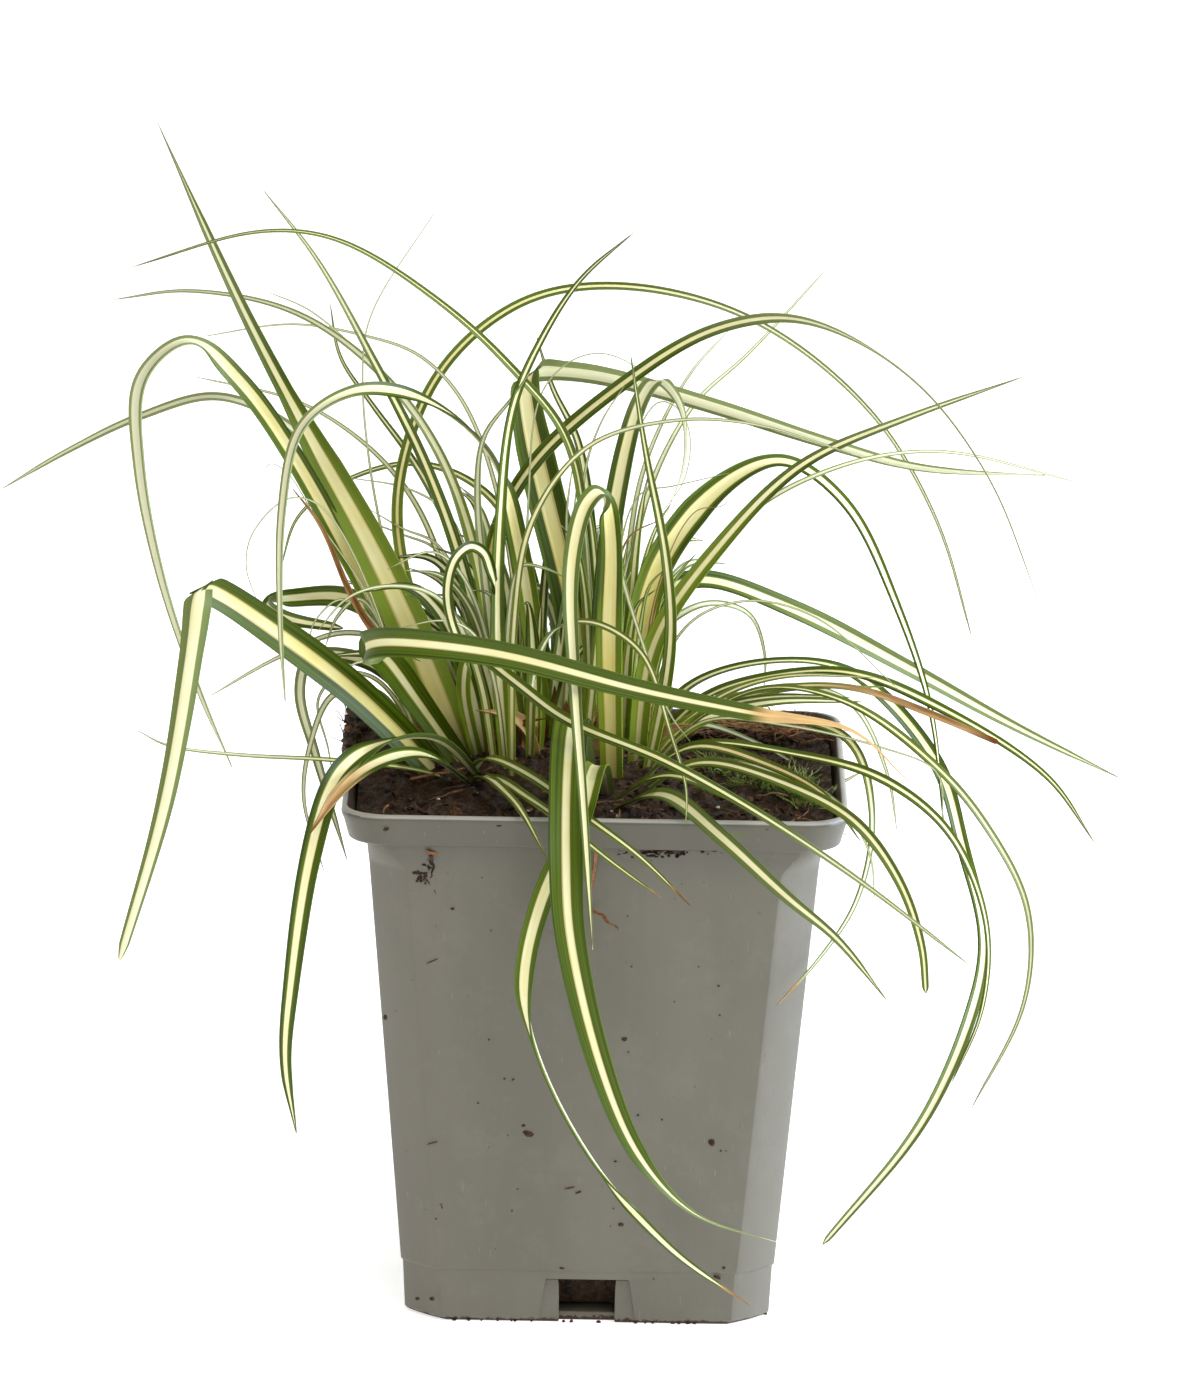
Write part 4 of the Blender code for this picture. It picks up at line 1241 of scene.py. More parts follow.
LEFT_BLADES = (
    Blade("leaf_left_tall", 8.2, 1.4, (
        (-24, 0), (-31, 1, 113), (-41, 3, 134), (-52, 6, 153), (-65, 12, 176), (-81, 22, 208)), tip=0.06,
        stripe=(0.46, 0.3), young_and_backlit=0.6, pale=0.66, paleness=0.45, base=0.95, tail_at=0.46, tail=0.64,
        gold=0.8),
    Blade("leaf_left_arch", 4.6, 1.5, (
        (-27, 3), (-38, 4, 118), (-54, 2, 149), (-65, -4, 166), (-74, -10, 174), (-82, -16, 168),
        (-82, -20, 154), (-78, -22, 134), (-71, -22, 113), (-65, -22, 99)),
        (FRONT, FRONT, FRONT, FRONT, FRONT, UP, LEFT_FRONT, LEFT_FRONT, LEFT_FRONT, LEFT_FRONT), tip=0.1,
        stripe=(0.42, 0.7), pale=0.5, paleness=1.0, base=0.35, widest_at=0.3, gold=0.9),
    Blade("leaf_left_far", 3.4, 1.8, (
        (-25, 6), (-35, 10, 121), (-46, 16, 142), (-57, 24, 152), (-70, 30, 156), (-84, 36, 151),
        (-98, 42, 143), (-110, 46, 135)), (FRONT, FRONT, UP, FRONT_UP, FRONT), stripe=(0.42, 0.5), pale=0.2,
        paleness=1.0),
    Blade("leaf_left_bent", 6.2, 2.2, (
        (-27, -8), (-42, -17, 111), (-56, -26, 124), (-67, -33, 133), (-70, -35.4, 134.5),
        (-70.6, -37.6, 132.5), (-71.5, -38.6, 125), (-76, -41, 97), (-84, -42, 68)),
        tip=0.3, stripe=(0.27, 0.55), shift=-0.03,
        young_and_backlit=0.04, pale=0.49, paleness=0.1, base=0.8, tail_at=0.46, tail=0.85, folded=True, gold=1.0),
    Blade("leaf_left_folded", 4.4, 2.6, (
        (-23, 9), (-31, 14, 112), (-45, 20, 121), (-55, 20, 121), (-60, 14, 121), (-56, 7, 120),
        (-46, 4, 119)), (FRONT, FRONT, LEFT_FRONT, FRONT), tip=0.3, stripe=(0.42, 0.42), gold=0.7),
    Blade("leaf_left_low_back", 3.0, 2.0, (
        (-26, 13), (-40, 18, 109), (-52, 20, 110), (-54, 18, 104), (-51, 15, 93), (-45, 12, 74)),
        (FRONT_UP, LEFT_FRONT, FRONT), stripe=(0.5, 0.5), pale=0.4),
    Blade("leaf_left_fine_out", 1.8, 1.4, (
        (-24, 11), (-35, 16, 112), (-46, 14, 116), (-58, 10, 112), (-70, 4, 106)), (UP, FRONT),
        stripe=(0.5, 0.5), pale=0.3),
    Blade("leaf_left_hanging", 4.2, 1.5, (
        (-9, 8), (-14, 4, 132), (-20, -4, 153), (-31, -12, 164), (-43, -22, 168), (-53, -32, 163),
        (-56, -38, 149), (-56, -42, 130), (-55, -43, 116)),
        (FRONT, FRONT, UP, LEFT_FRONT, LEFT_FRONT, LEFT_FRONT), stripe=(0.42, 0.66), pale=0.62, gold=0.8),
    Blade("leaf_left_thin_level", 1.6, 1.6, (
        (-23, -11), (-32, -14, 97), (-47, -20, 100), (-63, -30, 103), (-76, -36, 106), (-81, -38, 109)),
        (UP, FRONT_UP), stripe=(0.4, 0.5), pale=0.5),
)

CENTRE_BLADES = (
    Blade("leaf_centre_tall_arch", 2.5, 1.0, (
        (-22, 14), (-33, 22, 117), (-37, 28, 138), (-30, 34, 160), (-15, 38, 173), (3, 40, 176),
        (27, 42, 170), (49, 44, 153), (62, 46, 132), (69, 46, 110)), stripe=(0.3, 0.42), pale=0.6,
        paleness=0.6, gold=0.7),
    Blade("leaf_centre_right_arch", 3.4, 1.3, (
        (-18, 18), (-20, 14, 130), (-13, 8, 148), (3, 0, 165), (20, -6, 177), (36, -12, 180),
        (55, -18, 171), (69, -22, 154), (78, -24, 133)), stripe=(0.3, 0.4), pale=0.58, base=0.5,
        widest_at=0.35, tail_at=0.6, tail=0.2, gold=0.8),
    Blade("leaf_centre_wide", 7.2, 2.4, (
        (-1, 12), (-5, 13, 123), (-10, 16, 142), (-13.5, 18, 157), (-13.8, 20, 161.5), (-12.5, 22, 163),
        (-6, 23, 163), (3, 24, 161.5), (22, 26, 156), (40, 28, 150), (58, 30, 145), (81, 30, 144)),
        tip=0.06, stripe=(0.34, 0.56),
        young_and_backlit=0.03, pale=0.42, paleness=0.35, tail_at=0.34, tail=0.62, folded=True, gold=1.0),
    Blade("leaf_centre_pale", 3.2, 1.3, (
        (-16, -6), (-18, -8, 120), (-18, -10, 142), (-16, -12, 163), (-11, -14, 176), (-4, -18, 188),
        (5, -22, 197)), (FRONT, RIGHT_FRONT, FRONT), stripe=(0.42, 0.36), slot="fresh_leaf"),
    Blade("leaf_leaning_long", 3.0, 1.4, (
        (-19, 1), (-23, -1, 126), (-31, -3, 150), (-41, -4, 170), (-51, -5, 188), (-61, -6, 201)), tip=0.08,
        stripe=(0.3, 0.45), pale=0.7),
    Blade("leaf_leaning_pale", 2.6, 1.1, (
        (-17, 4), (-22, 4, 132), (-29, 6, 151), (-39, 10, 164), (-55, 18, 174), (-75, 28, 176),
        (-89, 34, 173)), tip=0.1, stripe=(0.5, 0.5), young_and_backlit=0.5, pale=0.4, slot="fresh_leaf"),
    Blade("leaf_upper_sweep", 2.4, 1.0, (
        (0, 7), (-2, 2, 133), (-6, -4, 156), (-16, -10, 170), (-29, -16, 183), (-47, -22, 195),
        (-61, -26, 197), (-83, -30, 191)), tip=0.1, stripe=(0.22, 0.25)),
    Blade("leaf_leaning_dark", 2.4, 1.3, (
        (-20, 20), (-25, 26, 127), (-33, 30, 143), (-42, 36, 154), (-48, 40, 162), (-50, 44, 171)), tip=0.1,
        stripe=(0.3, 0.4)),
    Blade("leaf_fine_bow_left", 1.6, 1.2, (
        (-22, 17), (-29, 24, 128), (-38, 34, 142), (-54, 44, 152), (-75, 54, 155)),
        stripe=(0.4, 0.5), pale=0.4),
    Blade("leaf_low_bow_left", 2.2, 1.4, (
        (-8, 16), (-12, 26, 124), (-20, 36, 137), (-33, 46, 141), (-47, 54, 136), (-56, 58, 128),
        (-59, 60, 118)), (FRONT, FRONT_UP, FRONT)),
    Blade("leaf_centre_hairpin", 5.8, 0.9, (
        (3, -10), (2, -14, 122), (2, -18, 141), (0, -26, 151), (-3, -32, 149), (-5, -36, 139),
        (-4, -47, 121), (-2, -62, 102), (0, -68, 78)),
        (FRONT, FRONT, FRONT_UP, FRONT, FRONT, FRONT), stripe=(0.5, 0.62), pale=0.42, paleness=0.2, gold=1.0),
    Blade("leaf_centre_cross", 2.6, 1.5, (
        (9, -6), (13, -9, 119), (12, -12, 136), (8, -14, 156), (5, -16, 174)), stripe=(0.34, 0.45)),
    Blade("leaf_centre_folded_top", 4.2, 3.0, (
        (1, 1), (1, -2, 126), (3, -4, 147), (7, -6, 164), (10, -8, 168), (14, -10, 164), (15, -10, 154),
        (12, -10, 144)), (FRONT, FRONT, FRONT, FRONT_UP, FRONT, FRONT), tip=0.1, stripe=(0.5, 0.5), pale=0.68,
        tail_at=0.73, tail=0.25, folded=True, gold=0.8),
    Blade("leaf_centre_spotted", 3.0, 1.4, (
        (1, 14), (-1, 18, 129), (-4, 22, 150), (-9, 24, 160), (-12, 26, 169)), tip=0.15, stripe=(0.45, 0.45)),
    Blade("leaf_small_hoop", 2.9, 1.2, (
        (-13, 0), (-17.5, -4, 123), (-19.3, -12, 133), (-20.8, -17, 138), (-23.2, -20, 139.5),
        (-25.8, -23, 137.5), (-26.9, -25, 132), (-25.5, -26, 125.5), (-23, -26, 121)),
        (FRONT, FRONT, FRONT_UP, FRONT, FRONT), tip=0.5, stripe=(0.4, 0.5), gold=0.9,
        slot="fresh_leaf"),
    Blade("leaf_centre_low_arch", 1.9, 1.6, (
        (-12, -4), (-11, -16, 117), (-7, -24, 126), (0, -30, 128), (8, -36, 124), (13, -44, 112),
        (16, -50, 103), (16, -51, 96)), (FRONT, UP, FRONT, FRONT)),
    Blade("leaf_fine_up_right", 1.7, 1.2, (
        (3, 17), (6, 24, 136), (9, 28, 148), (16, 34, 161), (23, 40, 168)), stripe=(0.5, 0.5), pale=0.4),
    Blade("leaf_fine_far_up_right", 1.8, 1.0, (
        (5, 20), (7, 30, 133), (16, 40, 153), (27, 50, 162), (41, 60, 176)), stripe=(0.5, 0.5), pale=0.4),
    Blade("leaf_fine_right_bow", 1.6, 1.2, (
        (-15, -10), (-15, -16, 125), (-12, -22, 145), (-2, -28, 160), (14, -34, 166), (28, -38, 166),
        (44, -42, 162)), stripe=(0.45, 0.5), pale=0.6),
)

RIGHT_BLADES = (
    Blade("leaf_right_big_arch", 5.7, 2.4, (
        (6, 4), (7, 6, 115), (11, 10, 131), (22, 16, 144), (33, 20, 148), (45, 24, 139), (54, 26, 121),
        (61, 26, 101), (64, 24, 79)), (FRONT, FRONT, FRONT_UP, RIGHT_FRONT, RIGHT_FRONT), tip=0.08,
        stripe=(0.54, 0.5), shift=0.04, young_and_backlit=0.28, tail_at=0.33, tail=0.5, gold=1.0),
    Blade("leaf_right_long", 4.6, 0.9, (
        (7, -3), (10, -4, 119), (22, -6, 138), (36, -8, 153), (54, -10, 162), (75, -10, 170)), tip=0.08,
        stripe=(0.28, 0.46), young_and_backlit=0.55, pale=0.7, paleness=0.5, gold=0.6),
    Blade("leaf_right_fine_bow", 1.5, 1.3, (
        (9, 12), (12, 14, 116), (25, 17, 137), (43, 20, 147), (62, 26, 149), (87, 34, 142)),
        stripe=(0.45, 0.5), pale=0.4),
    Blade("leaf_right_low_broad", 4.6, 1.9, (
        (3, 24), (8, 30, 116), (17, 36, 122), (36, 44, 115), (57, 52, 103), (77, 58, 91), (98, 62, 80)),
        (FRONT, FRONT_UP, FRONT, FRONT), tip=0.08, stripe=(0.42, 0.46), young_and_backlit=0.08, pale=0.4,
        paleness=0.5),
    Blade("leaf_right_back_hook", 1.8, 1.8, (
        (2, 28), (8, 38, 108), (19, 48, 115), (28, 54, 112), (31, 56, 104), (31, 56, 97)),
        stripe=(0.45, 0.5), pale=0.3),
    Blade("leaf_right_dark_over", 3.3, 3.4, (
        (7, 14), (17, 24, 105), (34, 32, 108), (48, 38, 104), (63, 42, 87), (68, 42, 71), (72, 38, 55),
        (70, 30, 43), (61, 20, 24), (43, 8, 4)), (UP, UP, FRONT, RIGHT_FRONT, FRONT, FRONT), tip=0.3,
        stripe=(0.34, 0.46), young_and_backlit=0.1, pale=0.7, paleness=0.35, base=0.6, widest_at=0.7),
    Blade("leaf_right_far_low", 3.0, 1.8, (
        (8, 8), (19, 12, 105), (31, 14, 109), (46, 14, 110), (62, 14, 104), (82, 12, 92), (91, 10, 80)),
        (UP, UP, FRONT_UP, FRONT), young_and_backlit=0.1, gold=0.6),
    Blade("leaf_right_old_brown", 1.8, 2.4, (
        (8, 4), (19, 4, 105), (31, 4, 109), (46, 2, 110), (60, 0, 106), (73, -2, 101)),
        (UP, FRONT_UP, FRONT), tip=0.5, dry=0.5, drying=0.35, burn=0.6, base=0.35, widest_at=0.8, gold=1.0,
        slot="dry_leaf"),
    Blade("leaf_right_dark_low", 2.2, 1.6, (
        (9, 0), (19, -2, 105), (31, -4, 111), (46, -8, 109), (61, -12, 99), (70, -14, 89), (78, -15, 74),
        (78, -14, 56), (69, -10, 35)), (UP, UP, RIGHT_FRONT, FRONT, FRONT), young_and_backlit=0.1, pale=0.5,
        paleness=0.7, gold=0.6),
    Blade("leaf_right_level_tan", 2.6, 1.5, (
        (7, -10), (17, -16, 103), (35, -22, 103), (51, -27, 100), (63, -29, 91), (70, -29, 75),
        (70, -26, 58), (65, -22, 43)), (UP, UP, RIGHT_FRONT, RIGHT_FRONT, FRONT), young_and_backlit=0.1, gold=0.8),
    Blade("leaf_right_drop_thin", 2.0, 1.6, (
        (9, 18), (19, 22, 99), (35, 20, 100), (46, 12, 98), (50, -4, 88), (47, -22, 76), (40, -34, 68),
        (33, -42, 62)), (UP, FRONT_UP, RIGHT_FRONT, FRONT), stripe=(0.4, 0.5), pale=0.5, dry=0.93),
    Blade("leaf_right_back_drop", 1.8, 1.6, (
        (8, 24), (21, 32, 99), (36, 38, 102), (47, 42, 98), (54, 45, 84), (56, 45, 73)),
        OVER_RIM, stripe=(0.4, 0.5), pale=0.5),
)

FRONT_BLADES = (
    Blade("leaf_front_band", 5.6, 2.3, (
        (-23, -4), (-32, -11, 109), (-38, -23, 120), (-41, -34, 124), (-36, -43, 127), (-17, -47, 126),
        (8, -50, 120.5), (29, -52, 117), (45, -52, 114.5), (55, -50, 105)),
        (FRONT, FRONT, LEFT_FRONT, FRONT, FRONT, FRONT, FRONT), tip=0.12, stripe=(0.27, 0.27), young_and_backlit=0.0,
        dry=0.79, burn=-0.1, tail_at=0.79, tail=0.3, gold=0.5),
    Blade("leaf_front_left_brown_tip", 3.5, 3.0, (
        (-21, -14), (-30, -24, 102), (-38, -37, 104), (-45, -52, 102), (-50, -60, 96)),
        OVER_RIM, tip=0.25, stripe=(0.5, 0.55), young_and_backlit=0.0, dry=0.62, drying=0.5, burn=0.6, slot="dry_leaf"),
    Blade("leaf_front_left_hanging", 4.3, 2.6, (
        (-20, -11), (-28, -20, 104), (-38, -32, 106), (-46, -48, 103), (-50, -54, 90), (-53, -55, 68),
        (-54, -53, 53), (-52, -50, 39)), (BACK_UP, BACK_UP, FRONT, FRONT, FRONT, FRONT), tip=0.25,
        stripe=(0.4, 0.42), shift=0.04, young_and_backlit=0.0, base=0.4, widest_at=0.4),
    Blade("leaf_front_long_thin", 3.0, 1.3, (
        (-21, -1), (-24, -10, 111), (-22, -20, 120), (-15, -32, 118), (-5, -42, 113), (12, -50, 108),
        (29, -56, 100), (47, -60, 89), (66, -62, 75)), (FRONT, FRONT_UP, FRONT, FRONT), pale=0.75),
    Blade("leaf_front_right_tan", 2.6, 2.0, (
        (5, -16), (17, -26, 105), (30, -34, 104), (41, -42, 100), (47, -46, 93)), OVER_RIM, dry=0.4,
        dryness=0.55, burn=0.1, slot="dry_leaf"),
    Blade("leaf_front_right_cut", 2.2, 3.0, (
        (6, -19), (18, -30, 103), (33, -40, 102), (46, -48, 97), (54, -52, 87), (58, -53, 76),
        (59, -52, 67)), (UP, FRONT_UP, FRONT, FRONT), tip=0.5),
    Blade("leaf_front_right_mid", 2.6, 1.6, (
        (2, -20), (12, -32, 101), (22, -44, 101), (33, -52, 97), (45, -56, 89)), OVER_RIM,
        stripe=(0.32, 0.4)),
    Blade("leaf_front_right_wide", 3.4, 2.0, (
        (2, -24), (12, -38, 99), (22, -52, 95), (34, -60, 86), (43, -62, 79), (52, -62, 68)),
        (UP, FRONT_UP, FRONT, FRONT), stripe=(0.42, 0.42), shift=-0.04, pale=0.2, paleness=0.25),
    Blade("leaf_front_hanging_wide", 6.6, 2.4, (
        (-2, -13), (-4, -26, 109), (-5, -46, 106), (-5, -60, 93), (-4, -63, 79), (2, -64, 55),
        (9, -63, 39), (19, -60, 28), (34, -56, 22)),
        (BACK_UP, UP, FRONT, FRONT, FRONT, FRONT), tip=0.06, stripe=(0.24, 0.3), shift=-0.03, young_and_backlit=0.0,
        pale=0.86, tail_at=0.78, tail=0.3),
    Blade("leaf_front_hanging_second", 4.2, 2.0, (
        (2, -17), (0, -38, 104), (-3, -53, 97), (-9, -55, 84), (-12, -55, 69), (-9, -52, 54),
        (1, -48, 34), (15, -44, 17), (29, -40, 6)),
        (BACK_UP, FRONT_UP, FRONT, FRONT, EDGE, EDGE, FRONT, FRONT), tip=0.1, stripe=(0.45, 0.6), dry=0.95),
    Blade("leaf_front_small_upper", 2.5, 1.8, (
        (-23, -9), (-20, -17, 100), (-12, -33, 101), (-1, -51, 97.5), (8, -56, 92), (17, -59, 84)),
        OVER_RIM, stripe=(0.4, 0.4), dry=0.93, burn=0.6),
    Blade("leaf_front_small_lower", 2.4, 1.8, (
        (-22, -10), (-18, -25, 98.5), (-12, -40, 98.5), (-7, -50, 97.5), (3, -56, 91), (12, -58, 85)),
        OVER_RIM, stripe=(0.4, 0.4), dry=0.95),
    Blade("leaf_front_small_short", 2.2, 2.2, (
        (-22, -12), (-20, -22, 98), (-16, -36, 98.5), (-12.5, -47, 97), (-8, -53, 90)), (UP, FRONT),
        stripe=(0.4, 0.4)),
)

OLD_BLADES = (
    Blade("leaf_old_upright", 3.2, 0.6, (
        (-28, -2), (-36, -2, 113), (-44, -4, 126), (-50, -6, 140), (-55, -8, 147)), tip=0.12, dry=0.0,
        burn=0.75, slot="dry_leaf"),
    Blade("leaf_old_fallen", 3.4, 2.0, (
        (14, 30), (20, 30, 96), (29, 29, 96), (37, 28, 95)), (UP,), tip=0.4, dry=0.0, burn=0.65,
        slot="dry_leaf"),
)

# Threads and small blades too fine for a CAD node, each as (width, route)
FINE_LEFT = (
    (0.6, ((-29, 10), (-36, 10, 122), (-41, 9, 144), (-43, 2, 166), (-41, -8, 180), (-30, -14, 199))),
    (1.2, ((-14, 8), (-16, 14, 130), (-24, 20, 156), (-33, 26, 165), (-44, 30, 168), (-57, 34, 169),
           (-73, 36, 166))),
    (1.2, ((-17, 6), (-23, 10, 131), (-31, 16, 152), (-42, 22, 164), (-53, 26, 173), (-61, 28, 176))),
    (1.1, ((-17, 10), (-22, 16, 122), (-27, 22, 136), (-35, 28, 140), (-46, 32, 141))),
    (0.6, ((-31, 0), (-42, -4, 130), (-50, -8, 144), (-56, -12, 146), (-62, -14, 140), (-63, -15, 134),
           (-61, -15, 128))),
    (0.5, ((-31, 2), (-41, 0, 125), (-51, -4, 141), (-56, -8, 150), (-59, -10, 152), (-60, -12, 151))),
    (1.3, ((-19, 10), (-23, 14, 119), (-29, 20, 131), (-36, 26, 133), (-42, 28, 136))),
    (1.3, ((-20, 12), (-23, 16, 115), (-29, 24, 129), (-36, 30, 131), (-44, 34, 133))),
    (1.5, ((-17, 2), (-20, -2, 119), (-25, -6, 132), (-30, -8, 136), (-38, -10, 133))),
    (1.7, ((-18, -6), (-21, -10, 113), (-26, -14, 126), (-31, -18, 131), (-39, -20, 132), (-45, -22, 130),
           (-50, -22, 124))),
    (1.2, ((-16, -8), (-19, -14, 116), (-23, -18, 124), (-28, -20, 126), (-35, -22, 125))),
    (1.7, ((-32, 8), (-40, 14, 105), (-48, 16, 104), (-52, 14, 95), (-53, 12, 85), (-49, 10, 72))),
    (1.1, ((-31, 12), (-40, 20, 106), (-47, 24, 106), (-51, 24, 101), (-49, 22, 93), (-48, 20, 88))),
    (2.2, ((-30, 6), (-37, 4, 115), (-43, 2, 125), (-47, 0, 122), (-49, -2, 117))),
    (1.0, ((-30, 4), (-38, 0, 118), (-46, -3, 126), (-51, -5, 122), (-52, -6, 117))),
    (1.3, ((-30, -4), (-36, -10, 111), (-42, -14, 117), (-49, -18, 113))),
)
FINE_CENTRE = (
    (2.4, ((-16, 2), (-20, 0, 126), (-22, -4, 145), (-21, -8, 157), (-16, -12, 165), (-13, -14, 170))),
    (0.6, ((-14, 8), (-13, 4, 140), (-11, 2, 163), (-5, 0, 170), (1, 0, 171), (9, 0, 167))),
    (0.5, ((1, 8), (4, 4, 147), (10, 2, 162), (14, 0, 161), (16, 0, 156), (15, 0, 148), (11, 0, 142))),
    (1.2, ((1, 2), (-2, 0, 133), (-3, 0, 148), (0, -2, 159), (4, -4, 166))),
    (1.4, ((-6, 4), (-5, 4, 125), (-6, 4, 140), (-5, 4, 150))),
    (1.2, ((-4, 6), (-5, 6, 121), (-5, 6, 136), (-4, 6, 148))),
    (2.0, ((-16, -4), (-16, -8, 124), (-14, -10, 134), (-10, -11, 134), (-5, -12, 132))),
    (1.6, ((-2, -4), (0, -6, 120), (2, -8, 138), (6, -9, 126), (13, -12, 108), (17, -14, 103))),
)
FINE_RIGHT = (
    (0.7, ((9, -4), (12, -6, 116), (18, -8, 125), (28, -8, 128), (40, -10, 125), (54, -12, 113))),
    (0.6, ((3, 6), (3, 4, 129), (7, 2, 145), (13, 0, 147), (23, -2, 150))),
    (0.8, ((8, -6), (19, -14, 107), (33, -20, 108), (51, -24, 105), (61, -26, 101), (62, -27, 91))),
    (1.3, ((10, 10), (17, 14, 100), (30, 16, 96), (40, 16, 90))),
    (1.4, ((8, -12), (18, -20, 101), (32, -27, 101), (44, -32, 96), (49, -35, 88), (50, -36, 80))),
    (0.9, ((42, -10), (43.5, -10, 94.5), (48.6, -10, 97.7))),
)
FINE_OLD = (
    (1.1, ((4, 10), (3, 8, 120), (5, 6, 136), (11, 4, 140))),
    (0.5, ((8, 6), (10, 4, 125), (17, 2, 142), (22, 0, 143.5), (23.3, 0, 145))),
    (1.2, ((9, 2), (8.5, 0, 115), (10.7, 0, 126))),
)


class Grade(Enum):
    """How finely a blade is divided, as columns across it and rows along it."""

    WIDE = (12, 170)
    NARROW = (6, 130)
    FINE = (2, 70)

    @classmethod
    def of(cls, width: float, wide_above: float = 3.9, narrow_above: float = 1.9) -> "Grade":
        """Pick the grade for a blade's width, with its limits, in millimetres."""
        return cls.WIDE if width > wide_above else cls.NARROW if width > narrow_above else cls.FINE


@dataclass(frozen=True)
class BladeBlank:
    """A flat blade, one unit wide and long, that is laid along a route to make a leaf."""

    columns: int
    rows: int
    channel: float = 0.16
    crease: float = 0.02

    def shape(self) -> bpy.types.Mesh:
        """Shape the blank: a grid pushed into a channel, with a crease on each side of its midrib.

        Returns:
            The blank's mesh.
        """
        bpy.ops.mesh.primitive_grid_add(x_subdivisions=self.columns, y_subdivisions=self.rows, size=1.0)
        thing = bpy.context.object
        edit(thing)
        work = bmesh.from_edit_mesh(thing.data)
        for vertex in work.verts:
            out = abs(2 * vertex.co.x)
            vertex.co.z = self.channel * out ** 1.3 - self.crease * math.sin(math.pi * min(1.0, out * 1.6))
        bmesh.update_edit_mesh(thing.data)
        close()
        mesh = thing.data
        mesh.uv_layers[0].name = "blade"
        bpy.data.objects.remove(thing)
        return mesh


def stretch_uv(mesh: bpy.types.Mesh, length: float) -> None:
    """Lay a blank's UV map out anew: 0 to 1 across the blade, and decimetres along it.

    Args:
        mesh: the copy of the blank, still one unit wide and long.
        length: the blade's length in metres.
    """
    places = []
    for corner in mesh.loops:
        spot = mesh.vertices[corner.vertex_index].co
        places.extend((spot.x + 0.5, (spot.y + 0.5) * length / (100 * MM)))
    mesh.uv_layers["blade"].uv.foreach_set("vector", places)


def blend(first: Vector, last: Vector, start: float, end: float, time: float) -> Vector:
    """Blend two points by where a time lies between theirs."""
    return first.lerp(last, (time - start) / (end - start))


def curve_point(knots: Sequence[Vector], share: float) -> Vector:
    """Give a point of the smooth curve between the middle two of four knots.

    Args:
        knots: the four points.
        share: how far it is from the second knot, 0, to the third, 1.

    Returns:
        The point.
    """
    times = [0.0]
    for before, after in zip(knots, knots[1:]):
        times.append(times[-1] + math.sqrt((after - before).length))
    time = times[1] + (times[2] - times[1]) * share
    lines = [blend(knots[i], knots[i + 1], times[i], times[i + 1], time) for i in range(3)]
    left = blend(lines[0], lines[1], times[0], times[2], time)
    right = blend(lines[1], lines[2], times[1], times[3], time)
    return blend(left, right, times[1], times[2], time)


